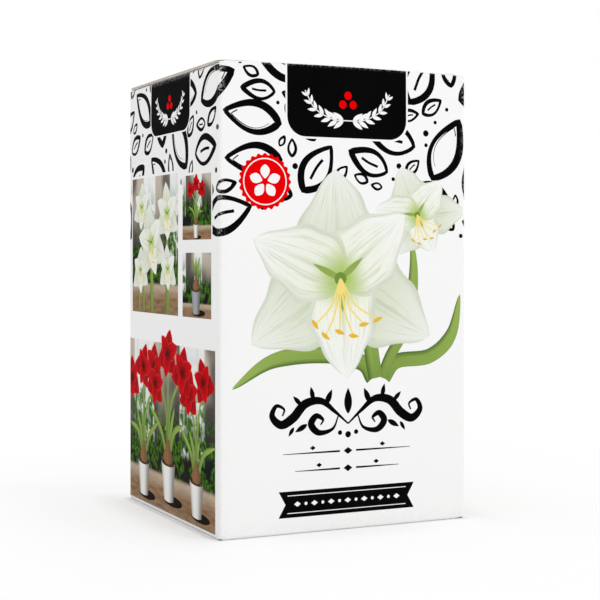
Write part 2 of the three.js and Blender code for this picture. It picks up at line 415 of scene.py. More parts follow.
def cut_edge():
    """The board's raw edge: two liners with the flutes' wave between, and painted shade in the hollows."""
    m = Material("cut_edge", Roughness=0.9, Specular_IOR_Level=0.2)
    across = m.value("across")
    wave = m.math("SINE", m.times(m.value("along"), 2 * math.pi / FLUTE_PITCH))
    off = m.math("ABSOLUTE", m.math("SUBTRACT", across, m.math("MULTIPLY_ADD", wave, 0.26, 0.5)))
    flute = m.ramp(off, 0.05, 0.13, 1.0, 0.0)
    liner = m.ramp(m.math("ABSOLUTE", m.math("SUBTRACT", across, 0.5)), 0.30, 0.36)
    paper_else_painted_shade = m.math("MAXIMUM", flute, liner)
    paper = m.mix(m.noise(700, 3), (0.80, 0.775, 0.73), (0.92, 0.90, 0.87))
    # the hollows between flute and liners get a darker brown: painted shade, not the paper's colour
    m.set("Base Color", m.mix(paper_else_painted_shade, (0.46, 0.41, 0.35), paper))
    m.set("Normal", m.bump(paper_else_painted_shade, 0.08 * MM))
    return m.material


COATED, LINER, EDGE = coated_white(), inner_liner(), cut_edge()


def add_object(name, points, faces, materials, kinds=None, values=None):
    """A smooth mesh that carries values at its points."""
    mesh = bpy.data.meshes.new(name)
    mesh.from_pydata(np.asarray(points).tolist(), [], [[int(i) for i in f] for f in faces])
    for material in materials:
        mesh.materials.append(material)
    if kinds is not None:
        mesh.polygons.foreach_set("material_index", np.asarray(kinds, np.int32))
    mesh.polygons.foreach_set("use_smooth", np.ones(len(mesh.polygons), bool))
    carry(mesh, values or {})
    return added(name, mesh)


def carry(mesh, values):
    for key, numbers in values.items():
        carried = mesh.attributes.new(key, "FLOAT", "POINT")
        carried.data.foreach_set("value", np.asarray(numbers, np.float32))


def grid_faces(rows, columns, closed=False, first=0):
    """Quads over a grid of points, facing the side from which columns run right and rows run up."""
    index = np.arange(rows * columns).reshape(rows, columns) + first
    here, there = (index, np.roll(index, -1, axis=1)) if closed else (index[:, :-1], index[:, 1:])
    return np.stack([here[:-1], there[:-1], there[1:], here[1:]], axis=-1).reshape(-1, 4)


def rim_of(rows, columns):
    """Rows and columns of the points round a grid's rim."""
    ring = [(0, j) for j in range(columns)] + [(i, columns - 1) for i in range(1, rows)]
    ring += [(rows - 1, j) for j in range(columns - 2, -1, -1)] + [(i, 0) for i in range(rows - 2, 0, -1)]
    return np.array(ring).T


def board(name, outer, inner, wear=0.0, materials=(COATED, LINER, EDGE)):
    """A closed piece of board between its printed face and its inner face, with a fluted rim."""
    rows, columns = outer.shape[:2]
    count = rows * columns
    points = [outer.reshape(-1, 3), inner.reshape(-1, 3)]
    faces = [grid_faces(rows, columns), grid_faces(rows, columns, first=count)[:, ::-1]]
    kinds = [0] * len(faces[0]) + [1] * len(faces[1])
    worn = np.broadcast_to(wear, (rows, columns)).reshape(-1)
    values = {"wear": [worn, worn], "along": [np.zeros(2 * count)], "across": [np.zeros(2 * count)]}
    i, j = rim_of(rows, columns)
    top, bottom = outer[i, j], inner[i, j]
    inward = outer[np.clip(i, 1, rows - 2), np.clip(j, 1, columns - 2)] - top
    inward /= np.linalg.norm(inward, axis=1)[:, None]
    along = np.cumsum(np.linalg.norm(np.roll(top, 1, axis=0) - top, axis=1))
    for k, (share, sunk) in enumerate(EDGE_LAYERS):
        points.append(top * (1 - share) + bottom * share + inward * sunk)
        for key, numbers in (("wear", 0), ("along", along), ("across", share)):
            values[key].append(np.broadcast_to(numbers, len(i)))
        if k:
            strip = grid_faces(2, len(i), closed=True, first=2 * count + (k - 1) * len(i))
            faces.append(strip[:, ::-1])
            kinds += [2] * len(strip)
    values = {key: np.concatenate(parts) for key, parts in values.items()}
    item = add_object(name, np.concatenate(points), np.concatenate(faces), materials, kinds, values)
    weld(item)
    return item


def weld(item):
    """Closes the seams between a rim and its faces, and keeps the corner there crisp."""
    shape = bmesh.new()
    shape.from_mesh(item.data)
    bmesh.ops.remove_doubles(shape, verts=shape.verts, dist=DOUBLE)
    bmesh.ops.recalc_face_normals(shape, faces=shape.faces)
    for edge in shape.edges:
        if len(edge.link_faces) == 2:
            one, two = edge.link_faces
            edge.smooth = one.material_index == two.material_index and one.normal.dot(two.normal) > 0.5
    shape.to_mesh(item.data)
    shape.free()


def panel_at(run):
    """Which stretch of the sheet each run lies on, and its share of the half width from the middle."""
    k = np.clip(np.searchsorted(STARTS, run, side="right") - 1, 0, len(PLAN) - 1)
    return k, 2 * (run - STARTS[k]) / LENGTHS[k] - 1


def wall_top(run):
    """Height of the sleeve's upper edge: the front panel's is cut, the others end where a flap bends."""
    k, share = panel_at(run)
    front = FRONT_CREST - CROWN * (run / WIDE) ** 2 - DIP * np.clip(-run / WIDE, 0, 1) ** 4
    corner = DUST_CREST - DIP
    in_band = (1 - np.abs(share)) * LENGTHS[k] / 2 > CREASE_END
    lid_band = np.where(in_band, LID_CREST - CROWN - CREASE_BAND, corner)
    dust_band = np.where(in_band, DUST_CREST - CREASE_BAND, corner)
    glue = GLUE_HIGH.z - GLUE_TAPER * np.clip((share + 1) / 2, 0, 1)
    tops = [lid_band, corner, dust_band, corner, front, corner, dust_band, corner - GLUE_TAPER / 2, glue]
    return np.where(np.abs(run) <= PANEL["front"][1] / 2 + ARC / 2, front, np.choose(k, tops))


def wall_end(run):
    """Where the sheet starts at the bottom: under the carton, or above it at the folds and the glue flap."""
    k, share = panel_at(run)
    glue_flap = len(PLAN) - 1
    glue = UNDER + GLUE_LOW.z + GLUE_TAPER * np.clip((share + 1) / 2, 0, 1)
    end = np.where(k % 2 == 1, 0.7 * UNDER, 0.0)
    return np.where(k == glue_flap, glue, np.where(k == glue_flap - 1, UNDER + GLUE_START, end))


def round_stations():
    """Stations along the sheet, close at the folds and at the ends of the bending strips."""
    even = {"fold": 8, "front": 28, "glue": 6}
    corner = np.array([0, CREASE_END / 2, CREASE_END - SLIT])
    stations = []
    for kind, length, start, _, _ in PLAN:
        if kind in even:
            part = steps(0, length, even[kind])
        else:
            band = steps(CREASE_END + SLIT, length - CREASE_END - SLIT, 24)
            part = np.concatenate([corner, band, length - corner[::-1]])
        stations.append(part + start)
    together = np.concatenate(stations)
    return together[np.append(True, np.diff(together) > DOUBLE)]


def wall_wear(run, height):
    """Where the wall is rubbed: the folds, the front panel's cut upper edge and the bottom edge."""
    middles = [start + length / 2 for kind, length, start, _, _ in PLAN if kind == "fold"]
    off = np.min([np.abs(run - middle) for middle in middles], axis=0)
    cut = 0.35 * peak(FRONT_CREST - CROWN - height, 0.5 * MM)
    low = 0.8 * peak(height - 0.8 * MM, 1.2 * MM)
    corners = 1 + peak(height - TOP, 15 * MM) + peak(height, 15 * MM)
    return np.clip(peak(off, 1.5 * MM) * 0.45 * corners + cut + low, 0, 1)


def sleeve():
    run = round_stations()
    low, top = wall_end(run), wall_top(run) - BOTTOM_FOLD + UNDER
    bend = np.maximum(UNDER, low + 0.8 * MM)
    along = np.concatenate([steps(low, bend, 6)[:-1], steps(bend, top, 34)])
    wear = wall_wear(run, along - UNDER + BOTTOM_FOLD)
    item = board("sleeve_board", rolled_under(run, along, 0.0), rolled_under(run, along, -BOARD), wear)
    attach(item, "carton")
    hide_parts("sleeve", "glue_flap")


sleeve()

# ---- Print on the sleeve ----
# Flat inks under a satin lacquer: the pattern of outlined leaves and dots runs round all four sides. Front
# and rear carry a black tab, a red seal, blooms, a scroll and a bar, and each side a tab and its pictures.

INK_STEP = 0.006 * MM  # between the films that lie on each other
INK_FOOT = 0.04 * MM  # how deep a film reaches into the board
SHEET_LINES = 4.5 * MM  # the flat shapes are cut at least this often, to follow the board
SLIVER = 0.002 * MM  # narrower bits are left out
CARRIED = ("t", "w", "tone", "layer")


class Film:
    """Flat shapes of one ink, drawn in run and height on the sheet and then laid on the board together."""

    def __init__(self, ink):
        self.ink, self.points, self.faces, self.carried, self.count = ink, [], [], [], 0

    def area(self, points, faces=None, layer=1, t=0.0, w=0.0, tone=0.5):
        """t and w place a point within its shape, tone tells the shapes apart, a higher layer lies on top."""
        points = np.asarray(points, float)
        carried = grid(t, w, tone, layer) + np.zeros((*points.shape[:-1], len(CARRIED)))
        faces = [range(len(points))] if faces is None else faces
        self.faces += [[int(i) + self.count for i in face] for face in faces]
        self.points.append(points.reshape(-1, 2))
        self.carried.append(carried.reshape(-1, len(CARRIED)))
        self.count += len(self.points[-1])

    def patch(self, points, closed=False, **values):
        self.area(points, grid_faces(*points.shape[:2], closed), **values)

    def line(self, path, width, closed=False, **values):
        self.patch(stroke(path, width, closed)[0], closed, **values)

    def dot(self, spot, radius, count, squash=1.0, **values):
        self.area(circle(radius, count, squash) + spot, **values)

    def leaf(self, spot, angle, length, width, count, **values):
        self.area(turned(leaf_outline(length, width, count), angle, spot), **values)

    def cut_shape(self, limits, lines):
        """The shapes as one mesh, trimmed to the limits and cut along the lines."""
        shape = bmesh.new()
        layers = [shape.verts.layers.float.new(key) for key in CARRIED]
        verts = [shape.verts.new((x, y, 0)) for x, y in np.concatenate(self.points)]
        for vert, values in zip(verts, np.concatenate(self.carried)):
            for layer, value in zip(layers, values):
                vert[layer] = value
        for face in self.faces:
            shape.faces.new([verts[i] for i in face])
        for axis, (low, high) in enumerate(limits):
            cut_along(shape, axis, low, -1, clear=True)
            cut_along(shape, axis, high, 1, clear=True)
            for line in lines[axis]:
                if low < line < high:
                    cut_along(shape, axis, line)
        bmesh.ops.dissolve_degenerate(shape, dist=SLIVER, edges=shape.edges[:])
        bmesh.ops.triangulate(shape, faces=[f for f in shape.faces if len(f.verts) > 4])
        slivers = [f for f in shape.faces if f.calc_area() < SLIVER**2 / 4]
        bmesh.ops.delete(shape, geom=slivers, context="FACES")
        shape.normal_update()
        for face in shape.faces:
            if face.normal.z < 0:
                face.normal_flip()
        folded_over = [e for e in shape.edges if len(e.link_faces) == 2 and not e.is_contiguous]
        bmesh.ops.split_edges(shape, edges=folded_over)
        left_over = [v for v in shape.verts if not v.link_faces]
        bmesh.ops.delete(shape, geom=left_over, context="VERTS")
        return shape, layers

    def lay(self, name, place, limits, wear=None, lines=None):
        """The film on the board: a closed coat from just inside the board up to the shapes' own layers. There
        is none if no shape reaches within the limits."""
        if not self.count:
            return None
        shape, layers = self.cut_shape(limits, lines or SHEET_CUTS)
        if not shape.faces:
            return None
        shape.verts.index_update()
        run, height = np.array([v.co[:2] for v in shape.verts]).T
        carried = np.array([[v[layer] for layer in layers] for v in shape.verts]).T
        count = len(run)
        faces = [[v.index for v in f.verts] for f in shape.faces]
        faces += [[i + count for i in face[::-1]] for face in faces]
        for edge in shape.edges:
            if edge.is_boundary:
                a = edge.link_loops[0].vert.index
                b = edge.other_vert(edge.link_loops[0].vert).index
                faces.append([b, a, a + count, b + count])
        shape.free()
        top = place(run, height, INK_STEP * (carried[3] + 1))
        sunk = place(run, height, np.full(count, -INK_FOOT))
        values = dict(zip(CARRIED[:3], carried))
        values["wear"] = wear(run, height) if wear else np.zeros(count)
        values = {key: np.tile(numbers, 2) for key, numbers in values.items()}
        item = add_object(name, np.concatenate([top, sunk]), faces, [self.ink], None, values)
        item.data.set_sharp_from_angle(angle=math.radians(40))
        return item


def cut_along(shape, axis, place, side=1, clear=False):
    """Cuts flat shapes at a run (axis 0) or a height (1), and clears what lies beyond on that side."""
    normal = Vector((side, 0, 0)) if axis == 0 else Vector((0, side, 0))
    everything = shape.verts[:] + shape.edges[:] + shape.faces[:]
    spot = normal * place * side
    bmesh.ops.bisect_plane(shape, geom=everything, plane_co=spot, plane_no=normal, clear_outer=clear)


def fold_lines():
    """Runs at which flat shapes are cut so that they follow the panels and wrap round the folds between."""
    lines = []
    for kind, length, start, _, _ in PLAN[:-2]:
        count = 8 if kind == "fold" else math.ceil(length / SHEET_LINES)
        lines += list(start + steps(0, length, count)[:-1])
        if kind != "fold":
            for inset in (1.2 * MM, 2.6 * MM):
                lines += [start + inset, start + length - inset]
    return lines


TOP_LINES = [FRONT_CREST - CROWN - below * MM for below in (2.4, 1.2, 0.6)]
SHEET_CUTS = (fold_lines(), [*np.arange(BOTTOM_FOLD, TOP, SHEET_LINES), *TOP_LINES])


def way(angle):
    return np.array([math.cos(angle), math.sin(angle)])


def turned(points, angle, centre=(0, 0)):
    (c, s), (x, y) = way(angle), np.moveaxis(np.asarray(points, float), -1, 0)
    return grid(x * c - y * s, x * s + y * c) + centre


def stroke(path, width, closed=False, across=3):
    """A ribbon along a path: rows across it, with w from -1 to 1 and t along it."""
    path = np.asarray(path, float)
    if closed:
        tangent = np.roll(path, -1, axis=0) - np.roll(path, 1, axis=0)
    else:
        tangent = np.gradient(path, axis=0)
    tangent /= np.linalg.norm(tangent, axis=1)[:, None] + 1e-12
    side = steps(-1, 1, across - 1)[:, None]
    half = np.broadcast_to(np.asarray(width, float) / 2, len(path))[:, None]
    points = path + side[..., None] * (half * grid(-tangent[:, 1], tangent[:, 0]))
    return points, steps(0, 1, len(path) - 1), side


def curve(points, count):
    """A smooth path through a few points."""
    points = np.asarray(points, float)
    padded = np.concatenate([[2 * points[0] - points[1]], points, [2 * points[-1] - points[-2]]])
    t = steps(0, 1, count)[:-1, None]
    parts = []
    for a, b, c, d in zip(padded, padded[1:], padded[2:], padded[3:]):
        bend, twist = 2 * a - 5 * b + 4 * c - d, 3 * b - a - 3 * c + d
        parts.append(0.5 * (2 * b + (c - a) * t + bend * t**2 + twist * t**3))
    return np.concatenate([*parts, points[-1:]])


def leaf_outline(length, width, count=28):
    """A pointed leaf that lies along x, fuller at its foot."""
    t = steps(0, 1, count)
    upper = grid((t - 0.5) * length, width / 2 * np.sin(math.pi * t**0.85) ** 0.9)
    return np.concatenate([upper, upper[-2:0:-1] * [1, -1]])


def round_angles(count):
    return steps(0, 2 * math.pi, count)[:-1]


def circle(radius, count, squash=1.0):
    angle = round_angles(count)
    return grid(radius * np.cos(angle), radius * squash * np.sin(angle))


def lozenge(size):
    return np.array([(size, 0), (0, 0.7 * size), (-size, 0), (0, -0.7 * size)])


def plain_ink(name, one, two, grain=None):
    """An even ink, slightly mottled where it has a grain, and otherwise shaded along its shapes."""
    m = Material(name)
    return printed(m, m.mix(m.noise(grain, 2) if grain else m.value("t"), one, two))


BLACK = plain_ink("black_ink", (0.0015, 0.0015, 0.0018), (0.004, 0.004, 0.0045), 40)
RED = plain_ink("red_ink", (0.76, 0.0, 0.001), (0.82, 0.001, 0.003), 60)
YELLOW = plain_ink("yellow_ink", (0.80, 0.48, 0.04), (0.90, 0.72, 0.22))

MOTIFS = (27, 23, 19, 16, 13, 10.5, 8.5, 7, 5.6, 3.4, 2.4)  # lengths in millimetres, the last two are dots
MOTIF_GAP = 0.8 * MM
LARGE, VEINED, LEAF = 5 * MM, 8 * MM, 4.2 * MM  # from these lengths on a motif is long, veined, a leaf
TRIES = 1500  # for each size
PATTERN_EDGE, PATTERN_DROP = 160 * MM, 26 * MM


def scattered(seed, area, allowed):
    """Seeded places for motifs of falling sizes that keep clear of each other."""
    chance = random.Random(seed)
    placed = []
    for size in (number * MM for number in MOTIFS):
        for _ in range(TRIES):
            x, y = (chance.uniform(*span) for span in area)
            length = size * chance.uniform(0.85, 1.15)
            angle = chance.uniform(0, math.pi)
            cosine, sine = math.cos(angle), math.sin(angle)
            spots = [(x + k * length * 0.3 * cosine, y + k * length * 0.3 * sine) for k in (-1, 0, 1)]
            reach = length * (0.28 if size > LARGE else 0.5)
            pairs = ((math.hypot(a - c, b - d), other) for a, b in spots for c, d, other in placed)
            if allowed(x, y, length) and all(apart > reach + other + MOTIF_GAP for apart, other in pairs):
                placed += [(a, b, reach) for a, b in spots]
                yield x, y, length, angle, chance.random()


def pattern(film, seed, area, allowed):
    """Leaves outlined as if with a full brush, some with a vein or a second thin stroke, between dots."""
    for x, y, length, angle, pick in scattered(seed, area, allowed):
        if length < LEAF:
            film.dot((x, y), 0.42 * length, 14)
            continue
        outline = leaf_outline(length, length * (0.46 + 0.12 * pick))
        pressed = 1 + 0.4 * np.sin(steps(0, 2 * math.pi, len(outline) - 1) + 9 * pick)
        brush = 0.65 * MM + 0.082 * length * pressed
        film.line(turned(outline, angle, (x, y)), brush, closed=True)
        if length < VEINED:
            continue
        if pick > 0.45:
            vein = turned([(-0.25 * length, 0), (0, 0.02 * length), (0.20 * length, 0)], angle, (x, y))
            film.line(curve(vein, 8), 0.045 * length + 0.3 * MM)
        else:
            part = turned(outline[2 : len(outline) * 3 // 5] * 0.76, angle + 0.08, (x, y))
            film.line(part, steps(0.2, 0.55, len(part) - 1) * MM)


def pattern_edge(run):
    """Height down to which the pattern comes, lower towards the upright folds."""
    _, share = panel_at(np.array([run]))
    return PATTERN_EDGE - PATTERN_DROP * float(np.abs(share[0])) ** 1.6


KEYLINE = 0.9 * MM  # white left round the tab
TAB_HALF, TAB_LOW, TAB_CORNER = 31 * MM, -34 * MM, 9 * MM
SPRIG_LAYER = 5
SPRIG = ((0, -26), (8, -25.5), (17, -21), (22, -13))  # the right half's stem, in millimetres
SPRIG_LEAVES = 7
BERRIES = ((0, -14.5), (-2.7, -18.6), (2.7, -18.6))


def tab(films, middle, scale=1.0):
    """The black tab at the top: a laurel sprig in white with three red berries."""
    black, white, red = films["black"], films["white"], films["red"]

    def put(points):
        return np.asarray(points) * scale + [middle, TOP]

    turn = steps(0, math.pi / 2, 8)
    bend = grid(np.cos(turn), -np.sin(turn)) * TAB_CORNER + [TAB_HALF - TAB_CORNER, TAB_LOW + TAB_CORNER]
    shape = np.concatenate([[(TAB_HALF, 0)], bend, bend[::-1] * [-1, 1], [(-TAB_HALF, 0)]])
    white.area(put(shape * [1 + KEYLINE / TAB_HALF, 1 - KEYLINE / TAB_LOW]), layer=2)
    black.area(put(shape), layer=3)
    for side in (-1, 1):
        stem = curve(np.array(SPRIG) * MM * [side, 1], 10)
        white.line(put(stem), 0.5 * MM, layer=SPRIG_LAYER)
        for k in range(SPRIG_LEAVES):
            before, spot, after = stem[2 + 4 * k : 5 + 4 * k]
            slope = math.atan2(*(after - before)[::-1])
            size = (6.4 - 0.45 * k) * MM
            for angle in (slope - 0.62, slope + 0.62):
                foot = put(spot + 0.5 * size * way(angle))
                white.leaf(foot, angle, size * scale, size * 0.34 * scale, 10, layer=SPRIG_LAYER)
    for spot in BERRIES:
        red.dot(put(np.array(spot) * MM), 1.9 * MM * scale, 20, layer=SPRIG_LAYER)


def seal(films, centre):
    """A red scalloped seal with a white ring and a small five-petalled blossom."""
    red, white = films["red"], films["white"]
    angle = round_angles(192)
    radius = 12.4 * MM + 0.5 * MM * np.cos(angle * 24)
    red.area(grid(radius * np.cos(angle), radius * np.sin(angle)) + centre, layer=6)
    white.line(circle(10.4 * MM, 64) + centre, 0.55 * MM, closed=True, layer=7)
    for k in range(5):
        angle = math.pi / 2 + k * 2 * math.pi / 5
        white.leaf(centre + 4.5 * MM * way(angle), angle + math.pi, 6.6 * MM, 4.6 * MM, 14, layer=7)
    red.dot(centre, 1.5 * MM, 18, layer=8)


# The scroll's right half, in millimetres: its two waves, and its leaves with their angle and length.
WAVE = ((0, -5), (7, 1), (14, 6), (22, 5), (28, -1), (34, -4), (38.5, 0), (36.5, 4.6), (32.6, 3), (33.4, 0))
CURL = ((5, -1), (8, -7), (15, -8.5), (19, -4.5), (16.4, -0.8), (13, -2.6), (14.2, -5))
LEAVES = ((10, 7.5, 2, 8), (18.5, 9.6, 1.35, 6.5), (26, 6.6, 0.8, 6), (24, -6, -0.5, 7), (29, -7.4, -1, 5))


def scroll(black, centre):
    """A brushed scroll: two mirrored waves that end in curls, with leaves along them."""
    for side in (-1, 1):
        for points, thin, thick, lean, layer in ((WAVE, 0.8, 3.6, 0.8, 2), (CURL, 0.7, 2.7, 1.0, 3)):
            path = curve(np.array(points) * MM * [side, 1], 12)
            share = steps(0, 1, len(path) - 1)
            width = (thin + thick * np.sin(math.pi * share**lean) ** 2) * MM
            black.line(path + centre, width, layer=layer)
        for x, y, angle, size in LEAVES:
            spot = centre + np.array([side * x, y]) * MM
            angle = angle if side > 0 else math.pi - angle
            black.leaf(spot, angle, size * MM, size * 0.36 * MM, 12, layer=2)
    black.leaf(centre + np.array([0, 5.5 * MM]), math.pi / 2, 12 * MM, 4 * MM, 16, layer=4)
    for x, y, radius in ((-4.2, -9, 1.1), (0, -10, 1.5), (4.2, -9, 1.1)):
        black.dot(centre + np.array([x, y]) * MM, radius * MM, 18, layer=2)


def rules(black, middle):
    """Two rows of thin lines, each with lozenges."""
    for height, half in ((36.5 * MM, 33 * MM), (28.5 * MM, 27 * MM)):
        for side in (-1, 1):
            line = np.array([(side * x, height) for x in (4.2 * MM, half / 2, half)])
            black.line(line + [middle, 0], [0.9 * MM, 0.7 * MM, 0.25 * MM])
            black.area(lozenge(1.5 * MM) + [middle + side * half * 0.55, height + 2.2 * MM])
        black.area(lozenge(2.3 * MM) + [middle, height])


BAR_LOW, BAR_HIGH, BAR_HALF, BAR_NOTCH = 7.6 * MM, 19.6 * MM, 35.2 * MM, 3.4 * MM


def bar(films, middle):
    """The black bar at the foot, with notched ends and a row of white dots and lozenges."""
    centre = np.array([middle, (BAR_LOW + BAR_HIGH) / 2])
    up = (BAR_HIGH - BAR_LOW) / 2
    right = [(BAR_HALF, -up), (BAR_HALF - BAR_NOTCH, 0), (BAR_HALF, up)]
    films["black"].area(np.array(right + [(-x, y) for x, y in right[::-1]]) + centre)
    white, half = films["white"], BAR_HALF - 4.4 * MM
    for side in (-1, 1):
        white.line(np.array([(-half, side * 4 * MM), (half, side * 4 * MM)]) + centre, 0.35 * MM, layer=3)
    for k in range(-6, 7):
        mark = circle(0.75 * MM, 16) if k % 2 else lozenge(1.7 * MM)
        white.area(mark + centre + [k * 4.3 * MM, 0], layer=3)


RIPPLE = 0.07  # how much a petal's edge waves


def petal(film, centre, angle, length, width, bend, tone, layer, seed):
    """A petal with its foot at the centre: t runs out to its tip, w across it."""
    fine = length > 20 * MM
    t, w = steps(0, 1, 22 if fine else 10)[:, None], steps(-1, 1, 12 if fine else 6)
    half = width / 2 * np.sin(math.pi * t**0.78) ** 0.72 * (1 - 0.25 * t) + 0.02 * length * (1 - t)
    wavy = 1 + RIPPLE * np.abs(w) ** 3 * np.sin(17 * t + 5 * seed + 2 * np.sign(w))
    shape = grid(length * t - 0.05 * length * w**2 * (1 - t), half * w * wavy + bend * length * t**2)
    film.patch(turned(shape, angle, centre), t=t, w=w, tone=tone, layer=layer)


def petals(name, tip, middle, foot, edge, vein):
    """Petal print: shaded from the foot out, darker along the middle fold and the edges, finely veined."""
    m = Material(name)
    t, w, tone = m.value("t"), m.value("w"), m.value("tone")
    off = m.math("ABSOLUTE", w)
    out = m.ramp(m.math("MULTIPLY_ADD", off, 0.12, t), 0.05, 0.38, 1, 0)
    lines = m.noise(1.0, 3, place=m.spot(m.times(w, 13.0), m.times(t, 1.6), m.times(tone, 40.0)), rough=0.7)
    lines = m.times(m.ramp(lines, 0.50, 0.66), m.ramp(t, 0.75, 1.0, 0.55, 0.12))
    groove = m.times(m.ramp(off, 0.0, 0.11, 1, 0), m.ramp(t, 0.2, 0.9, 0.7, 0.1))
    rim = m.times(m.ramp(off, 0.72, 1.0), m.ramp(t, 0.0, 0.4, 0.2, 0.62))
    shade = m.times(m.ramp(tone, 0, 1, 0.62, 0), m.ramp(t, 0.2, 1.0, 1.0, 0.35))
    petal_colour = m.mix(m.ramp(t, 0.25, 0.85), middle, tip)
    layers = (out, foot), (lines, vein), (groove, vein), (rim, edge), (shade, vein)
    return printed(m, m.layered(petal_colour, *layers))


def greens():
    m = Material("green_print")
    t, w = m.value("t"), m.value("w")
    streak = m.noise(1.2, 2, place=m.spot(m.times(w, 6.0), t, m.times(m.value("tone"), 30.0)))
    side = m.math("ABSOLUTE", m.math("ADD", w, 0.25))
    pale = (m.times(streak, 0.7), (0.36, 0.48, 0.13))
    dark = (m.ramp(side, 0.5, 1.2, 0, 0.75), (0.05, 0.11, 0.02))
    return printed(m, m.layered(m.mix(t, (0.10, 0.20, 0.03), (0.28, 0.42, 0.08)), pale, dark))


WHITE_PETALS = petals(
    "white_petals",
    tip=(0.90, 0.91, 0.88),
    middle=(0.87, 0.89, 0.78),
    foot=(0.38, 0.55, 0.05),
    edge=(0.56, 0.60, 0.50),
    vein=(0.54, 0.61, 0.42),
)
RED_PETALS = petals(
    "red_petals",
    tip=(0.66, 0.002, 0.006),
    middle=(0.50, 0.001, 0.004),
    foot=(0.05, 0.0, 0.001),
    edge=(0.84, 0.035, 0.045),
    vein=(0.15, 0.0, 0.002),
)
GREEN = greens()


def bloom(films, kind, centre, size, turn, layer, span, seed, squash):
    """A lily-like bloom seen from the front: three broad petals behind and three before them. A white one has
    rays and stamens too. It takes that span of layers."""
    chance = random.Random(seed)
    step = span / 11
    centre = np.array(centre)
    green, yellow = films["green"], films["yellow"]
    for ring, (offset, width, tone) in enumerate(((math.pi / 2, 0.82, 0.25), (-math.pi / 2, 0.68, 0.95))):
        for k in range(3):
            angle = turn + offset + k * 2 * math.pi / 3 + chance.uniform(-0.08, 0.08)
            length = size * (1 - 0.13 * ring) * chance.uniform(0.94, 1.05)
            length *= 1 - (1 - squash) * abs(math.sin(angle))
            bend = chance.uniform(-0.09, 0.09)
            height = layer + step * (4 * ring + k)
            petal(films[kind], centre, angle, length, width * size, bend, tone - 0.12 * k, height, seed + k)
            if ring and kind == "bloom":
                spot, over = centre + 0.16 * length * way(angle), layer + 7.5 * step
                green.leaf(spot, angle, 0.36 * length, 0.055 * size, 12, t=0.75, tone=0.6, layer=over)
    if kind == "red_bloom":
        return
    green.dot(centre, 0.055 * size, 24, tone=0.4, layer=layer + 8 * step)
    for k in range(6):
        angle = turn - math.pi / 2 + (k - 2.5) * 0.27
        reach = size * (0.44 + 0.05 * (k % 2))
        tip = centre + reach * way(angle)
        middle = centre + 0.55 * reach * way(angle) * [0.7, 1.12]
        thread, _, w = stroke(curve([centre, middle, tip], 8), size * steps(0.020, 0.012, 16))
        yellow.patch(thread, t=1.0, w=w, layer=layer + (9 + 0.1 * k) * step)
        yellow.leaf(tip, angle + 1.2, 0.10 * size, 0.036 * size, 10, layer=layer + 10 * step)


def strap(green, points, width, tone, layer, count=8):
    """A strap leaf or a stem."""
    path = curve(points, count)
    taper = np.clip(3.2 * (1 - steps(0, 1, len(path) - 1)), 0, 1) ** 0.6
    ribbon, t, w = stroke(path, width * taper + 0.1 * MM, across=5)
    green.patch(ribbon, t=t, w=w, tone=tone, layer=layer)


def strip_foot(kind):
    """Height where the stretch of a panel starts that bends with its flap."""
    return (LID_CREST - CROWN if kind == "rear" else DUST_CREST) - CREASE_BAND


FRONT_LIMIT = FRONT_CREST - CROWN
LIFTED_FROM = 196 * MM  # above it, print on the front panel is stretched up to the panel's cut edge
EDGE_BARE = 0.25 * MM  # bare board between the print and an upper edge
STRIP_PRINT = {"rear": [], "left": [], "right": []}  # films that also cover a panel's bending strip


def to_cut_edge(run, height, lift):
    """As upright, with the shapes' top carried up to the front panel's curved upper edge."""
    share = np.clip((height - LIFTED_FROM) / (FRONT_LIMIT - LIFTED_FROM), 0, 1)
    return upright(run, height + share * (wall_top(run) - EDGE_BARE - FRONT_LIMIT), lift)


def laid(film, name, place, limits):
    """Lays a film on the standing board, where it has shapes."""
    item = film.lay(name, place, limits, wall_wear)
    if item:
        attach(item, "carton")


def laid_on_panel(kind, films):
    """Lays each film on its panel, and keeps it for the strip above that bends with the lid or a flap."""
    start, length = PANEL[kind]
    top, place = (FRONT_LIMIT, to_cut_edge) if kind == "front" else (strip_foot(kind), upright)
    for word, film in films.items():
        laid(film, f"{kind}_{word}", place, ((start, start + length), (BOTTOM_FOLD, top)))
        if kind in STRIP_PRINT:
            STRIP_PRINT[kind].append((f"{kind}_{word}_over_crease", film))


def scenery():
    """Out-of-focus rooms behind the small pictures: a wall, a bright window, leaves and a table top."""
    m = Material("scenery_print")
    t, w, tone = m.value("t"), m.value("w"), m.value("tone")
    wave = m.math("SINE", m.math("MULTIPLY_ADD", w, 5.5, m.times(tone, 9)))
    pane = m.times(m.ramp(wave, 0.0, 0.25), m.ramp(t, 0.34, 0.42))
    outside = m.mix(m.ramp(m.noise(170, 2), 0.42, 0.54), (0.88, 0.92, 0.88), (0.07, 0.19, 0.02))
    outside = m.mix(m.ramp(t, 0.60, 1.0), outside, (0.90, 0.92, 0.92))
    bars = m.ramp(m.math("SINE", m.times(w, 22.0)), 0.93, 0.99, 0, 0.8)
    bush = m.times(m.ramp(m.noise(110, 3), 0.44, 0.50), m.ramp(t, 0.45, 0.68, 0.95, 0))
    leaves = m.mix(m.ramp(m.noise(420, 2), 0.3, 0.7), (0.001, 0.005, 0.001), (0.07, 0.19, 0.015))
    table = m.mix(m.noise(90, 2, stretch=(1, 1, 6)), (0.08, 0.033, 0.014), (0.46, 0.29, 0.16))
    table = m.mix(m.ramp(t, 0.10, 0.2, 0, 0.4), table, (0.80, 0.70, 0.56))
    room = m.layered(
        m.mix(m.ramp(t, 0.30, 1.0), (0.016, 0.013, 0.010), (0.56, 0.49, 0.40)),
        (m.ramp(m.noise(26, 2), 0.46, 0.60, 0, 0.75), (0.003, 0.008, 0.010)),
        (m.times(pane, 0.9), outside),
        (m.times(pane, bars), (0.72, 0.70, 0.66)),
        (bush, leaves),
        (m.ramp(t, 0.20, 0.23, 1, 0), table),
    )
    return printed(m, room)


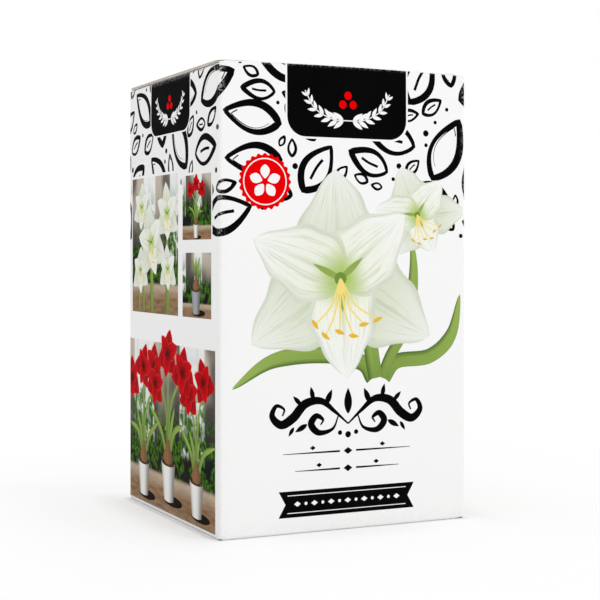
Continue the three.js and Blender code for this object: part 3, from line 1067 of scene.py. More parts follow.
def ceramic():
    """Round things in the pictures, shaded from one side. Their tone makes them a white or a grey pot, a
    bulb, the soil in a pot or the shadow that it casts."""
    m = Material("pot_print")
    t, w, tone = m.value("t"), m.value("w"), m.value("tone")
    skin = m.mix(m.noise(1.3, 3, place=m.spot(m.times(w, 9.0), t)), (0.08, 0.025, 0.008), (0.48, 0.23, 0.08))
    soil = m.mix(m.ramp(m.noise(900, 2), 0.35, 0.65), (0.02, 0.010, 0.006), (0.12, 0.065, 0.035))
    body = m.layered(
        m.mix(m.ramp(tone, 0.2, 0.4), (0.86, 0.85, 0.82), (0.36, 0.38, 0.40)),
        (m.ramp(tone, 0.6, 0.8), skin),
        (m.ramp(w, -0.1, 1.0, 0, 0.8), (0.09, 0.08, 0.07)),
        (m.ramp(w, -1.0, -0.55, 0.5, 0), (0.13, 0.12, 0.11)),
        (m.ramp(tone, 1.4, 1.6), soil),
        (m.ramp(tone, 2.4, 2.6), (0.012, 0.007, 0.005)),
    )
    return printed(m, body)


INKS = {
    "black": BLACK,
    "white": COATED,
    "red": RED,
    "bloom": WHITE_PETALS,
    "red_bloom": RED_PETALS,
    "green": GREEN,
    "yellow": YELLOW,
    "scene": scenery(),
    "pot": ceramic(),
}
WHITE_POT, GREY_POT, SKIN, SOIL, SHADOW = 0.1, 0.5, 0.95, 2.0, 3.0  # tones of the pictures' round things


def inks():
    """One film for each ink."""
    return {word: Film(ink) for word, ink in INKS.items()}


STEMS = (  # on the front and the rear: path from the panel's middle in millimetres, width, tone, layer
    (((14.5, 69.5), (12, 84), (10, 106)), 7.5, 0.3, 3),
    (((18, 69.5), (22, 79), (32, 96), (35, 118), (34, 136)), 5.5, 0.6, 2),
    (((13, 69.5), (7, 77), (-12, 81), (-38, 79), (-58, 67)), 7.5, 0.7, 1.5),
    (((19, 69.5), (26, 77), (44, 79), (56, 89), (61, 108)), 7, 0.4, 1),
)


def main_panel(kind, seed):
    """The front or the rear panel: the bloom picture over the pattern, with its marks above and below."""
    films, middle = inks(), MIDDLE[kind]

    def at(x, y):
        return np.array([middle + x * MM, y * MM])

    tab(films, middle)
    seal(films, at(-42, 160))
    scroll(films["black"], at(0, 54))
    rules(films["black"], middle)
    bar(films, middle)
    for points, width, tone, layer in STEMS:
        strap(films["green"], [at(*point) for point in points], width * MM, tone, layer, 14)
    bloom(films, "bloom", at(37, 146), 28 * MM, 0.5, 4, 5, seed + 5, 0.8)
    bloom(films, "bloom", at(-4, 116), 56 * MM, 0.12, 10, 11, seed, 0.90)
    laid_on_panel(kind, films)


def rounded_body(film, foot, height, profile, tone, layer):
    """A pot or a bulb seen from the side: half widths at even heights, from its foot up."""
    t, w = steps(0, 1, len(profile) * 3 - 1)[:, None], steps(-1, 1, 10)
    half = np.interp(t, steps(0, 1, len(profile) - 1), profile)
    sag = 0.12 * half * (1 - w**2) * (1 - 0.6 * t)
    film.patch(grid(half * w, height * t - sag) + foot, t=t, w=w, tone=tone, layer=layer)


def in_a_pot(pot, foot, size, tone, layer):
    """A pot with its soil and its shadow, and the bulb that stands half out of the soil."""
    foot = np.array(foot)
    pot.dot(foot + [0.07 * size, 0.005 * size], 0.17 * size, 24, 0.2, tone=SHADOW, layer=layer)
    rounded_body(pot, foot, 0.24 * size, np.array([0.085, 0.095, 0.11, 0.122]) * size, tone, layer + 2)
    pot.dot(foot + [0, 0.237 * size], 0.116 * size, 24, 0.2, tone=SOIL, layer=layer + 3)
    half = np.array([0.055, 0.083, 0.080, 0.045, 0.028, 0.026]) * size
    rounded_body(pot, foot + [0, 0.235 * size], 0.15 * size, half, SKIN, layer + 4)


def potted(films, foot, size, seed, layer, heads=3):
    """A potted red-flowered bulb of that height: pot, bulb, strap leaves, stems and blooms."""
    chance = random.Random(seed)
    in_a_pot(films["pot"], foot, size, chance.choice((WHITE_POT, WHITE_POT, GREY_POT)), layer)

    def at(x, y):
        return (foot[0] + x * size, foot[1] + y * size)

    for k in range(4):
        lean = (k - 1.5) * 0.16 + chance.uniform(-0.04, 0.04)
        path = [at(0.1 * lean, 0.28), at(0.5 * lean, 0.44), at(1.25 * lean, chance.uniform(0.44, 0.62))]
        strap(films["green"], path, 0.045 * size, chance.random(), layer + 0.2 * k)
    for k in range(heads):
        spread = (k - (heads - 1) / 2) * 0.26
        head = at(spread, 0.82 + 0.10 * (k % 2))
        path = [at(0, 0.3), at(0.2 * spread, 0.6), head]
        strap(films["green"], path, 0.03 * size, 0.5, layer + 1 + 0.2 * k)
        turn = chance.uniform(-0.5, 0.5)
        bloom(films, "red_bloom", head, 0.20 * size, turn, layer + 5 + 2.2 * k, 2, seed + 7 * k, 0.85)


def posy(films, foot, heads, seed):
    """Blooms seen close on stems that rise from the foot of their picture."""
    chance = random.Random(seed)
    for k, (x, y, size) in enumerate(heads):
        lean = chance.uniform(-2, 2) * MM
        stem = [(x + 2 * lean, foot), (x + lean, (foot + y) / 2), (x, y)]
        strap(films["green"], stem, 0.2 * size, 0.3 + 0.1 * k, 9 + 0.2 * k)
        turn = chance.uniform(-0.5, 0.5)
        bloom(films, "bloom", (x, y), size, turn, 10.5 + 1.8 * k, 2, seed + 7 * k, 0.92)


BORDER = 1.3 * MM  # white frame of a picture


def picture(films, low, high, tone):
    """A picture's blurred background in its white frame."""
    (x0, y0), (x1, y1) = low - BORDER, high + BORDER
    films["white"].area([(x0, y0), (x1, y0), (x1, y1), (x0, y1)], layer=6)
    t, w = steps(0, 1, 6)[:, None], steps(-1, 1, 6)
    points = low + (high - low) * grid((w + 1) / 2, t)
    films["scene"].patch(points, t=t, w=w, tone=tone, layer=7)


# On the left side, in millimetres from its front fold and from the bottom: pictures, blooms, potted plants.
PICTURES = ((48, 116, 98, 166, 0.3), (7, 42, 134, 164, 0.8), (7, 42, 98, 128, 0.1), (2.5, 120, 2, 84, 0.55))
POSY = ((63, 147, 17), (101, 151, 14), (62, 120, 13), (103, 119, 14), (86, 133, 22))
POTTED = ((25, 135, 27, 3, 1, 8), (25, 6, 68, 2, 3, 8), (62, 8, 77, 3, 4, 8.5), (98, 6, 70, 3, 5, 9))


def side_panel(kind, side, seed):
    """A side panel: tab and pattern above, a large and two small pictures, and a wide one at the foot."""
    films = inks()
    start, length = PANEL[kind]
    fold = start if side > 0 else start + length

    def at(v, y):
        return np.array([fold + side * v * MM, y * MM])

    tab(films, MIDDLE[kind], 0.86)
    for v0, v1, y0, y1, tone in PICTURES:
        ends = at(v0, y0), at(v1, y1)
        picture(films, np.minimum(*ends), np.maximum(*ends), tone)
    posy(films, 98.5 * MM, [(*at(v, y), size * MM) for v, y, size in POSY], seed)
    for v, y, size, heads, more, layer in POTTED:
        potted(films, at(v, y), size * MM, seed + more, layer, heads)
    in_a_pot(films["pot"], at(25, 100), 46 * MM, GREY_POT, 8)
    for lean in (-3, 0, 3):
        path = [at(25, 116), at(25 + lean * 0.7, 121), at(25 + lean * 1.6, 126)]
        strap(films["green"], path, 2.2 * MM, 0.5, 10)
    laid_on_panel(kind, films)


def round_pattern(seed):
    """The pattern round the whole sleeve, laid panel by panel with the folds between, and on the small
    corners beside the strips that bend."""
    film = Film(BLACK)
    front, rear, left, right = (PANEL[kind] for kind in ("front", "rear", "left", "right"))
    low, high = rear[0] + 0.5 * MM, sum(right)

    def allowed(x, y, length):
        return y - 0.3 * length > pattern_edge(x)

    pattern(film, seed, ((low, high), (130 * MM, TOP)), allowed)
    one, two, three = sum(rear) + ARC / 2, front[0] - ARC / 2, sum(front) + ARC / 2
    stretches = (
        ("front", two, three, FRONT_LIMIT, to_cut_edge),
        ("rear", low, one, strip_foot("rear"), upright),
        ("left_side", one, two, strip_foot("left"), upright),
        ("right_side", three, high, strip_foot("right"), upright),
    )
    for name, first, last, top, place in stretches:
        laid(film, f"pattern_{name}", place, ((first, last), (BOTTOM_FOLD, top)))
    corner = CREASE_END - SLIT
    corners = (
        ("rear", "right", low, rear[0] + corner),
        ("rear", "left", sum(rear) - corner, one),
        ("left", "rear", one, left[0] + corner),
        ("left", "front", sum(left) - corner, two),
        ("right", "front", three, right[0] + corner),
        ("right", "rear", high - corner, high),
    )
    for kind, end, first, last in corners:
        rows = strip_foot(kind), DUST_CREST - DIP - EDGE_BARE
        laid(film, f"pattern_{kind}_{end}_corner", upright, ((first, last), rows))
    for kind, prints in STRIP_PRINT.items():
        prints.append((f"pattern_{kind}_over_crease", film))


round_pattern(4)
main_panel("front", 3)
main_panel("rear", 3)
side_panel("left", -1, 11)
side_panel("right", 1, 11)

# ---- Bottom flaps ----
# Four flaps of the same sheet, folded in under the carton. The front and the rear one meet in a stepped
# seam and lie lowest, and the left and the right one are glued on top of them.

FRONT_SEAM, REAR_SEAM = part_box("bottom_flap_front")[1].y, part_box("bottom_flap_rear")[0].y
SEAM_RUN = 16 * MM  # half the width over which the seam steps
SEAM_PLAY = 0.15 * MM
FLAP_PLAY = 0.6 * MM  # between a long flap's ends and the side panels
FLAP_CORNER = 6 * MM
SIDE_TAPER = 22 * MM


def placed_flap(node, lowest, flip):
    """A flat flap from the points of its lower, printed face."""
    if flip:
        lowest = lowest[:, ::-1]
    item = board(node + "_board", lowest, lowest + [0, 0, BOARD])
    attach(item, "carton")
    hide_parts(node)


def long_bottom_flap(node, side):
    """The front flap (side -1) or the rear one (1), up to the step where their free edges meet."""
    low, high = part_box(node)
    x = np.linspace(low.x + FLAP_PLAY, high.x - FLAP_PLAY, 60)
    middle, step = (FRONT_SEAM + REAR_SEAM) / 2, (FRONT_SEAM - REAR_SEAM) / 2
    edge = middle + side * SEAM_PLAY + step * np.sin(np.clip(x / SEAM_RUN, -0.5, 0.5) * math.pi)
    y = steps(side * (DEEP - BOTTOM_FOLD), edge, 12)
    placed_flap(node, grid(x, y, low.z), side < 0)


def rounded_rows(reach, corner, plain_rows):
    """Distances from a crease out to a flap's free edge, close where its corners are rounded."""
    turn = steps(0, math.pi / 2, 7)[1:]
    return np.concatenate([steps(0, reach - corner, plain_rows), reach - corner + corner * np.sin(turn)])


def corner_cut(distance, reach, corner):
    """How much narrower a flap is on each side there, because its corners are rounded."""
    past = np.clip(distance - (reach - corner), 0, corner)
    return corner - np.sqrt(corner**2 - past**2)


def short_bottom_flap(node, side):
    """The left flap (side -1) or the right one (1), tapered and with rounded corners."""
    low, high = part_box(node)
    reach = high.x - low.x
    far = rounded_rows(reach, FLAP_CORNER, 10)[:, None]
    cut = corner_cut(far, reach, FLAP_CORNER) + SIDE_TAPER * np.clip(far / reach - 0.1, 0, 1)
    y = (high.y + low.y) / 2 + ((high.y - low.y) / 2 - 0.4 * MM - cut) * steps(-1, 1, 30)
    placed_flap(node, grid((high.x if side > 0 else low.x) - side * far, y, low.z), side > 0)


long_bottom_flap("bottom_flap_front", -1)
long_bottom_flap("bottom_flap_rear", 1)
short_bottom_flap("bottom_flap_left", -1)
short_bottom_flap("bottom_flap_right", 1)

# ---- Bulb ----
# One large bulb, as it grew: a fleshy globe in dry brown skins, a neck whose cut scales show at the top, and
# dried roots from its basal plate, on which it stands on the bottom flaps.

NECK_TOP = 124 * MM  # above the basal plate
BULB_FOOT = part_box("bulb")[1].z - NECK_TOP  # height of the basal plate
NECK_FROM = 54  # millimetres above the basal plate, where the neck starts to lean
NECK_LEAN = 4 * MM
SKIN_CURVE = ((19, 0), (36, 9), (50, 26), (54, 45), (48, 65), (33, 82), (22, 95), (18.5, 110), (18, 124))
SKIN_ROOM = 0.6 * MM
BOARD_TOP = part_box("bottom_flap_left")[1].z


def skin_radius(height):
    path = curve(np.array(SKIN_CURVE) * MM, 10)
    return np.interp(height, path[:, 1], path[:, 0]) - SKIN_ROOM


def bulb_point(turn, height, lift=0.0):
    """Points round the bulb, with its shallow ribs and its neck a little off the axis."""
    turn, height, lift = evened(turn, height, lift)
    up = height / MM
    ribs = 0.008 * (np.cos(7 * turn + up / 40) + 0.75 * np.cos(4 * turn - up / 60))
    dents = 0.004 * (np.sin(11 * turn + up / 9) + np.sin(5 * turn - up / 13)) * np.sin(up / 40)
    radius = skin_radius(height) * (1 + ribs + dents - 0.004) + lift
    share = np.clip((up - NECK_FROM) / (NECK_TOP / MM - NECK_FROM), 0, 1)
    lean = NECK_LEAN * share**2 * (3 - 2 * share)
    return grid(radius * np.cos(turn) + lean, radius * np.sin(turn), height + BULB_FOOT)


def tunic():
    """Papery skin: fine upright veins, darker and paler patches, a dull shine."""
    m = Material("bulb_tunic", Roughness=0.42, Specular_IOR_Level=0.4)
    across, along = m.times(m.value("t"), 95.0), m.times(m.value("w"), 9.0)
    veins = m.noise(1.0, 4, place=m.spot(across, along))
    patches = m.noise(1.0, 3, place=m.spot(m.times(across, 0.16), m.times(along, 0.35), 4.0))
    pale = m.mix(m.ramp(veins, 0.40, 0.58), (0.36, 0.17, 0.07), (0.58, 0.37, 0.19))
    colour = m.layered(
        m.mix(m.ramp(veins, 0.36, 0.62), (0.11, 0.036, 0.013), (0.34, 0.15, 0.055)),
        (m.ramp(patches, 0.50, 0.66), pale),
        (m.ramp(m.value("w"), 0.72, 0.95, 0, 0.6), (0.16, 0.07, 0.03)),
        (m.ramp(m.noise(210, 3), 0.64, 0.70, 0, 0.7), (0.06, 0.025, 0.012)),
    )
    m.set("Base Color", colour)
    m.set("Normal", m.bump(m.noise(700, 2), 0.06 * MM, below=m.bump(veins, 0.4 * MM)))
    return m.material


def scale_flesh():
    """The neck's cut scales and the skin below the tunic: cream going green, dry and brown at the rims."""
    m = Material("bulb_scales", Roughness=0.6, Specular_IOR_Level=0.3)
    veins = m.noise(1.0, 3, place=m.spot(m.times(m.value("t"), 60.0), m.times(m.value("w"), 5.0)))
    dry = m.times(m.ramp(m.value("w"), 0.93, 1.0), m.ramp(m.noise(300, 3), 0.3, 0.6))
    fresh = m.mix(veins, (0.58, 0.60, 0.34), (0.78, 0.74, 0.52))
    m.set("Base Color", m.mix(dry, fresh, (0.30, 0.17, 0.08)))
    m.set("Normal", m.bump(veins, 0.15 * MM))
    return m.material


def root_skin():
    m = Material("bulb_roots", Roughness=0.85, Specular_IOR_Level=0.2)
    along = m.value("t")
    rings = m.noise(1.0, 3, place=m.spot(m.times(along, 45.0), m.value("w"), m.value("tone")))
    colour = m.mix(m.ramp(rings, 0.35, 0.65), (0.24, 0.15, 0.08), (0.62, 0.50, 0.33))
    m.set("Base Color", m.mix(m.ramp(along, 0.6, 1.0, 0, 0.6), colour, (0.16, 0.09, 0.05)))
    m.set("Normal", m.bump(rings, 0.25 * MM))
    return m.material


TUNIC, SCALES, ROOT_SKIN = tunic(), scale_flesh(), root_skin()


def tube_faces(rows, columns, first=0):
    """Faces round closed rings of points, with fans to a foot and a top point that follow the rings."""
    faces = list(grid_faces(rows, columns, closed=True, first=first))
    foot = first + rows * columns
    for j in range(columns):
        here, there = first + j, first + (j + 1) % columns
        faces.append((foot, there, here))
        faces.append((foot + 1, here + (rows - 1) * columns, there + (rows - 1) * columns))
    return faces


SCALE_RIMS = (17, 12, 7)  # radii of the neck's scales in millimetres
SCALE_CUT = ((0.5, 0.4), (1.4, 1.0), (1.9, 6.0), (2.6, 7.0), (4.2, 6.5), (4.6, 2.0))  # inset and drop of each


def globe():
    """The globe from its basal plate to the neck's cut, and the hollows between the neck's scales."""
    turn = round_angles(96)
    height = np.concatenate([[-1 * MM, 0], steps(0.5 * MM, NECK_TOP - 0.5 * MM, 62)])
    rows = [bulb_point(turn, h, -1.5 * MM if h < 0 else 0.0) for h in height]
    share = list(height / NECK_TOP)
    for rim in SCALE_RIMS:
        for inset, drop in SCALE_CUT:
            radius = (rim - inset) * MM * (1 + 0.02 * np.cos(5 * turn + rim))
            level = NECK_TOP - (drop + 0.7 * np.sin(2 * turn + rim)) * MM
            rows.append(grid(radius * np.cos(turn) + NECK_LEAN, radius * np.sin(turn), level + BULB_FOOT))
            share.append(1.0 if drop < 3 else 0.9)
    points = np.concatenate([*rows, [rows[0].mean(axis=0), rows[-1].mean(axis=0)]])
    t = np.append(np.tile(turn / (2 * math.pi), len(rows)), [0, 0])
    w = np.append(np.repeat(share, len(turn)), [share[0], share[-1]])
    faces = tube_faces(len(rows), len(turn))
    return add_object("bulb_globe", points, faces, [SCALES], None, {"t": t, "w": w})


def tunic_flake(name, first, width, low, high, lift, curl, seed):
    """A sheet of dry skin over the globe, torn along its edges and lifting a little at the top."""
    chance = random.Random(seed)
    waves = [(0.30 / count**0.75, count, chance.uniform(0, 6.3)) for count in (1, 2, 3, 5, 8, 13, 21, 34)]

    def torn(share):
        return sum(size * np.sin(count * share + start) for size, count, start in waves)

    u, v = steps(0, 1, 84), steps(0, 1, 56)[:, None]
    left, right = first + 0.13 * torn(2.2 * v), first + width + 0.13 * torn(2.2 * v + 5)
    turn = left + (right - left) * u
    foot, rim = low + 6 * MM * torn(turn), high + 13 * MM * torn(turn + 2)
    height = foot + (rim - foot) * v
    edge = np.minimum(np.minimum(u, 1 - u) * 9, (1 - v) * 7)
    out = lift + curl * np.exp(-3 * edge) * (0.4 + 0.6 * np.sin(5 * turn + 3 * v) ** 2)
    out = out + 0.16 * MM * np.sin(34 * turn + 220 * height)
    outer, inner = bulb_point(turn, height, out + 0.16 * MM), bulb_point(turn, height, out - 0.10 * MM)
    item = board(name, outer, inner, materials=(TUNIC, TUNIC, TUNIC))
    spots = np.concatenate([outer.reshape(-1, 3), inner.reshape(-1, 3)])
    tree = KDTree(len(spots))
    for k, spot in enumerate(spots):
        tree.insert(spot, k)
    tree.balance()
    nearest = [tree.find(v.co)[1] % turn.size for v in item.data.vertices]
    carry(item.data, {"t": turn.ravel()[nearest] / (2 * math.pi), "w": height.ravel()[nearest] / NECK_TOP})
    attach(item, "carton")


ROOTS, ROOT_SIDES = 34, 10


def root_path(k, chance):
    """A root's way out of the basal plate, down and along the bottom of the carton, and its thickness."""
    turn = k / ROOTS * 2 * math.pi + chance.uniform(-0.12, 0.12)
    thick = chance.uniform(1.1, 2.0) * MM
    reach = (28 + 10 * (k % 2) + chance.uniform(-6, 4)) * MM
    bend = chance.uniform(-0.4, 0.4)
    rest = BOARD_TOP - BULB_FOOT + thick + 0.1 * MM + (k % 3) * 1.1 * MM
    knots = ((0.30, 5 * MM, 0), (0.5, -4 * MM, 0), (0.74, 0.6 * rest, 0.3 * bend), (1.0, rest, bend))
    return curve([(*(reach * r * way(turn + b)), z) for r, z, b in knots], 9), thick


def roots():
    """Dried, wrinkled roots."""
    chance = random.Random(8)
    points, faces, values = [], [], {"t": [], "w": [], "tone": []}
    angle = round_angles(ROOT_SIDES)
    count = 0
    for k in range(ROOTS):
        path, thick = root_path(k, chance)
        share = steps(0, 1, len(path) - 1)[:, None]
        path[:, :2] += 0.8 * MM * np.sin(9 * share + k) * share
        tangent = np.gradient(path, axis=0)
        tangent /= np.linalg.norm(tangent, axis=1)[:, None]
        across = np.cross(tangent, (0.0, 0.0, 1.0)) + [1e-9, 0, 0]
        across /= np.linalg.norm(across, axis=1)[:, None]
        over = np.cross(across, tangent)
        girth = thick * (1 - 0.55 * share**2) * (1 + 0.13 * np.sin(50 * share + 2 * np.sin(angle + k)))
        ring = np.cos(angle)[:, None] * across[:, None] + np.sin(angle)[:, None] * over[:, None]
        tube = path[:, None] + girth[..., None] * ring
        tube[..., 2] = np.maximum(tube[..., 2], BOARD_TOP + 0.35 * MM - BULB_FOOT)
        points += [*tube, [path[0] - tangent[0] * 0.3 * MM, path[-1] + tangent[-1] * 0.6 * MM]]
        faces += [face[::-1] for face in tube_faces(len(path), ROOT_SIDES, count)]
        values["t"].append(np.append(np.repeat(share, ROOT_SIDES), [0, 1]))
        values["w"].append(np.append(np.tile(angle / math.pi, len(path)), [0, 0]))
        values["tone"].append(np.full(len(path) * ROOT_SIDES + 2, 3.0 * k))
        count += len(path) * ROOT_SIDES + 2
    values = {key: np.concatenate(parts) for key, parts in values.items()}
    points = np.concatenate(points) + [0, 0, BULB_FOOT]
    return add_object("bulb_roots", points, faces, [ROOT_SKIN], None, values)


FLAKES = (  # first turn, width, foot, rim, lift, curl of the edge
    (0.2, 2.5, 6, 92, 0.2, 0.15),
    (2.3, 2.3, 7, 84, 0.75, 0.2),
    (4.2, 2.6, 6, 96, 1.3, 0.25),
    (0.9, 1.7, 12, 74, 1.9, 0.7),
    (3.3, 1.6, 16, 106, 2.0, 1.1),
    (5.3, 1.6, 14, 80, 2.3, 0.9),
)
for piece in (globe(), roots()):
    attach(piece, "carton")
    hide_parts("bulb")
for number, (first, width, *lengths) in enumerate(FLAKES):
    tunic_flake(f"bulb_tunic_{number + 1}", first, width, *(length * MM for length in lengths), 30 + number)

# ---- Dust flaps ----
# The two side panels' own ends, folded in under the lid. The last stretch of each panel bends with its flap,
# and so does the print on it. The left flap has the printer's dots of each ink.

SIDES = {"left": -1, "right": 1}
DUST_CORNER = 8 * MM
OVER = CREASE_BAND - TOP_FOLD + TOP_FOLD * math.pi / 2  # along the sheet, a strip's foot to past its crease
BEND_END = OVER + CREASE_BAND - TOP_FOLD  # along the sheet, the strip's foot to where the bending ends
BEND_ROWS = steps(0, BEND_END, 28)
STILL = 0.9 * MM  # the lowest part of a bending strip, which stays with its panel
INSIDE = 0.2 * MM  # how far inside the board's face the ends of a bend lie


def folded(along, lift, foot, stretches):
    """Places (out, up) on a section that starts upwards from its foot. stretches are straight lengths, each
    with the turn inwards, in degrees, that follows it."""
    out, up = np.zeros(along.shape), foot + np.zeros(along.shape)
    facing, left = np.zeros(along.shape), along
    for length, turn in stretches:
        walk = np.minimum(left, length)
        out, up = out - walk * np.sin(facing), up + walk * np.cos(facing)
        left = left - walk
        swing = np.clip(left / TOP_FOLD, 0, math.radians(turn))
        out = out + TOP_FOLD * (np.cos(facing + swing) - np.cos(facing))
        up = up + TOP_FOLD * (np.sin(facing + swing) - np.sin(facing))
        left, facing = left - TOP_FOLD * swing, facing + swing
    return out + lift * np.cos(facing), up + lift * np.sin(facing)


def over_top(kind, u, along, lift, crest, more=((np.inf, 0),)):
    """Points of board that goes up a panel from its strip's foot and on over the crease. u is from the
    panel's middle, and crest is how high the outer face lies past the crease."""
    _, length, _, place, heading = next(stretch for stretch in PLAN if stretch[0] == kind)
    u, along, lift, crest = evened(u, along, lift, crest)
    normal = np.array([heading[1], -heading[0]])
    foot = strip_foot(kind)
    rise = crest - TOP_FOLD - foot
    bulge = belly(2 * u / length, foot + np.minimum(along, rise))
    out, up = folded(along, lift, foot, ((rise, 90), *more))
    plan = place + (u + length / 2)[..., None] * heading + (out + bulge)[..., None] * normal
    return np.concatenate([plan, up[..., None]], axis=-1)


def over_side(kind, u, along, lift):
    return over_top(kind, u, along, lift, DUST_CREST)


def bend_at_side(kind, item):
    side = SIDES[kind]
    foot = (side * (WIDE - INSIDE), 0, strip_foot(kind) + STILL)
    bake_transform(item)


def dust_flap(kind):
    node = f"dust_flap_{kind}"
    low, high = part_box(node)
    half = PANEL[kind][1] / 2
    middle = -DEEP + FOLD + half
    reach = high.x - low.x - (HALF_WIDTH - WIDE) - TOP_FOLD
    level = BEND_END + rounded_rows(reach + OVER - BEND_END, DUST_CORNER, 12)
    along = np.concatenate([BEND_ROWS[:-1], level])
    past = np.maximum(along - OVER, 0)
    cut = corner_cut(past, reach, DUST_CORNER)
    band = half - CREASE_END - SLIT
    inset = np.clip((along - CREASE_BAND) / (1 * MM), 0, 1)
    front = -band + inset * (low.y - middle + band) + 0.08 * past + cut
    rear = np.minimum(band, high.y - middle - 0.6 * past) - cut
    u = (steps(front, rear, 40) if kind == "right" else steps(-rear, -front, 40)).T
    along = along[:, None]
    crease = 0.35 * peak(along - CREASE_BAND, 1.5 * MM)
    item = board(node + "_board", over_side(kind, u, along, 0.0), over_side(kind, u, along, -BOARD), crease)
    bend_at_side(kind, item)
    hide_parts(node)


def print_over_crease(kind, over, bend):
    """The panel's own print, carried on over the strip that bends."""
    foot = strip_foot(kind)
    half = PANEL[kind][1] / 2 - CREASE_END - SLIT - 0.05 * MM
    limits = ((MIDDLE[kind] - half, MIDDLE[kind] + half), (foot, foot + OVER - 1.2 * MM))
    lines = SHEET_CUTS[0], foot + BEND_ROWS  # the board's own rows, so that both bend alike

    def place(run, height, lift):
        return over(run - MIDDLE[kind], height - foot, lift)

    def wear(run, height):
        return 0.38 * peak(height - foot - OVER + 2 * MM, 0.8 * MM)

    for name, film in STRIP_PRINT[kind]:
        item = film.lay(name, place, limits, wear, lines)
        if item:
            bend(item)


DOT_BLUE = (0.0, 0.27, 0.68)
DOT_COLOURS = ((0.66, 0.0, 0.21), (0.90, 0.76, 0.0), (0.76, 0.0, 0.002), (0.003, 0.003, 0.003))
DOT_PITCH = 5 * MM


def colour_dots():
    """The printer's dots of each ink, where the closed lid hides them."""
    m = Material("colour_dots")
    blue = m.mix(m.ramp(m.noise(500, 2), 0.3, 0.8, 0, 0.12), DOT_BLUE, (1, 1, 1))
    others = ((m.ramp(m.value("tone"), k + 0.4, k + 0.6), ink) for k, ink in enumerate(DOT_COLOURS))
    film = Film(printed(m, m.layered(blue, *others)))
    for k in range(len(DOT_COLOURS) + 1):
        film.dot(((k - 9.5) * DOT_PITCH, OVER + 9 * MM), 1.9 * MM, 28, tone=k)
    item = film.lay("colour_dots", partial(over_side, "left"), ((-0.1, 0.1), (OVER, 0.1)))
    bend_at_side("left", item)


for kind in SIDES:
    dust_flap(kind)
colour_dots()
for kind in SIDES:
    print_over_crease(kind, partial(over_side, kind), partial(bend_at_side, kind))

# ---- Lid ----
# It carries on from the rear panel over its crease, and lies level over the dust flaps with a slight crown.
# It is printed like the panels, and the strips at both its creases bend.

LID_HALF = LID_HIGH.x - 0.6 * MM
LID_MIDDLE = WIDE - PANEL["rear"][1] / 2  # the lid's middle, from the middle of the rear panel
LID_CORNER = 1.5 * MM
TUCK_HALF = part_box("tuck_flap")[1].x - 0.2 * MM
FRONT_ROOM = 1.5 * MM  # the lid's front crease lies this far behind the front panel's face
LID_LEVEL = 2 * (DEEP - TOP_FOLD) - FRONT_ROOM  # level length of the lid, between its two creases
LID_END = OVER + LID_LEVEL - CREASE_BAND  # where the strip begins that bends with the tuck flap
TUCK_LEAN = 9  # degrees, inwards from upright
FRONT_FOLD = TOP_FOLD * math.radians(90 + TUCK_LEAN)
PAST_FOLD = OVER + LID_LEVEL + FRONT_FOLD  # where the tuck flap's straight part begins
FRONT_ROWS = steps(LID_END, PAST_FOLD + CREASE_BAND - TOP_FOLD, 26)


def over_rear(u, along, lift):
    """Points of the lid and its tuck flap. u is from the rear panel's middle, along from its strip's foot."""
    crest = LID_CREST - CROWN * (u / LID_HALF) ** 2
    bulge = belly(2 * u / PANEL["rear"][1], TOP)
    more = ((LID_LEVEL + bulge, 90 + TUCK_LEAN), (np.inf, 0))
    return over_top("rear", u, along, lift, crest, more)


def bend_at_rear(item):
    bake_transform(item)


def bend_at_front(item):
    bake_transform(item)


def lid():
    band = PANEL["rear"][1] / 2 - CREASE_END - SLIT
    edge = LID_MIDDLE + steps(TUCK_HALF + SLIT, LID_HALF, 3)
    slits = (-band - 2 * SLIT, band + 2 * SLIT)
    u = np.sort(np.concatenate([2 * LID_MIDDLE - edge, slits, steps(-band, band, 40), edge]))
    off = np.abs(u - LID_MIDDLE)
    low = np.where(np.abs(u) <= band, 0.0, OVER + 0.5 * MM)
    past = np.clip(off - (LID_HALF - LID_CORNER), 0, LID_CORNER)
    corner = LID_CORNER - np.sqrt(LID_CORNER**2 - past**2)
    end = np.where(off > TUCK_HALF, OVER + LID_LEVEL - 0.4 * MM - corner, LID_END)
    along = np.concatenate([steps(low, BEND_END, 28)[:-1], steps(BEND_END, end, 30)])
    wear = 0.6 * peak(along - CREASE_BAND, 1.5 * MM) + 0.5 * peak(LID_HALF - off, 1 * MM)
    item = board("lid_board", over_rear(u, along, 0.0), over_rear(u, along, -BOARD), np.clip(wear, 0, 1))
    bend_at_rear(item)
    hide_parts("lid")


BARE_DISC = 27 * MM  # radius that the pattern leaves bare for the roundel


def roundel(black, red, centre):
    """A black ring with a laurel and a red blossom in it."""
    for radius, width in ((25 * MM, 1.6 * MM), (22.6 * MM, 0.5 * MM)):
        black.line(circle(radius, 96) + centre, width, closed=True)
    for k in range(18):
        angle = k * 2 * math.pi / 18
        black.leaf(centre + 17.5 * MM * way(angle), angle + 1.1, 6.4 * MM, 2.6 * MM, 12)
    for k in range(5):
        angle = -math.pi / 2 + k * 2 * math.pi / 5
        red.leaf(centre + 6 * MM * way(angle), angle + math.pi, 9.4 * MM, 6.4 * MM, 16)


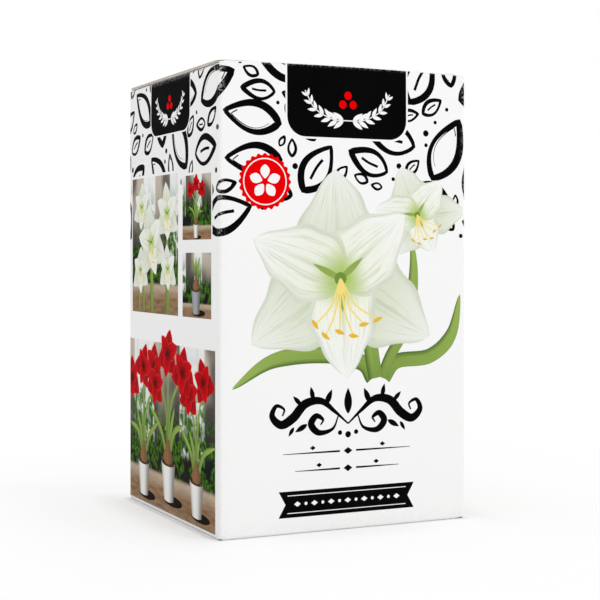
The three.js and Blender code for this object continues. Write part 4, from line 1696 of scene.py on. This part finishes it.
def lid_print():
    """The lid's print: the pattern round a bare disc that holds the roundel."""
    black, red = Film(BLACK), Film(RED)
    centre = np.array([LID_MIDDLE, OVER + LID_LEVEL / 2])

    def allowed(x, y, length):
        return math.hypot(x - centre[0], y - centre[1]) > BARE_DISC + 0.4 * length

    pattern(black, 21, ((-LID_HALF, LID_HALF), (OVER, PAST_FOLD)), allowed)
    roundel(black, red, centre)
    half, front = LID_HALF - 0.3 * MM, TUCK_HALF - 0.4 * MM
    columns = np.arange(-half, half, SHEET_LINES)
    limits = ((LID_MIDDLE - half, LID_MIDDLE + half), (OVER + 1 * MM, LID_END))
    for word, film in (("black", black), ("red", red)):
        lines = columns, [*BEND_ROWS, *np.arange(BEND_END, LID_END, SHEET_LINES)]
        item = film.lay(f"lid_{word}", over_rear, limits, lines=lines)
        bend_at_rear(item)
    limits = ((LID_MIDDLE - front, LID_MIDDLE + front), (LID_END, OVER + LID_LEVEL + 1 * MM))
    item = black.lay("lid_black_over_front_crease", over_rear, limits, lines=(columns, FRONT_ROWS))
    bend_at_front(item)


lid()
lid_print()
print_over_crease("rear", over_rear, bend_at_rear)

# ---- Tuck flap ----
# The lid's front edge, folded down behind the front panel. It is the same board, white, with rounded corners,
# and it leans inwards so that it slides in.

TUCK_CORNER = 9 * MM


def tuck_flap():
    low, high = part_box("tuck_flap")
    reach = high.z - low.z - 1.2 * MM
    straight = rounded_rows(PAST_FOLD + reach - FRONT_ROWS[-1], TUCK_CORNER, 5)
    along = np.concatenate([FRONT_ROWS[:-1], FRONT_ROWS[-1] + straight])[:, None]
    cut = corner_cut(np.maximum(along - PAST_FOLD, 0), reach, TUCK_CORNER)
    u = LID_MIDDLE + (TUCK_HALF - SLIT - cut) * steps(-1, 1, 44)
    wear = 0.5 * peak(along - PAST_FOLD + FRONT_FOLD / 2, 1.3 * MM)
    item = board("tuck_flap_board", over_rear(u, along, 0.0), over_rear(u, along, -BOARD), wear)
    bend_at_front(item)
    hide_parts("tuck_flap")


tuck_flap()
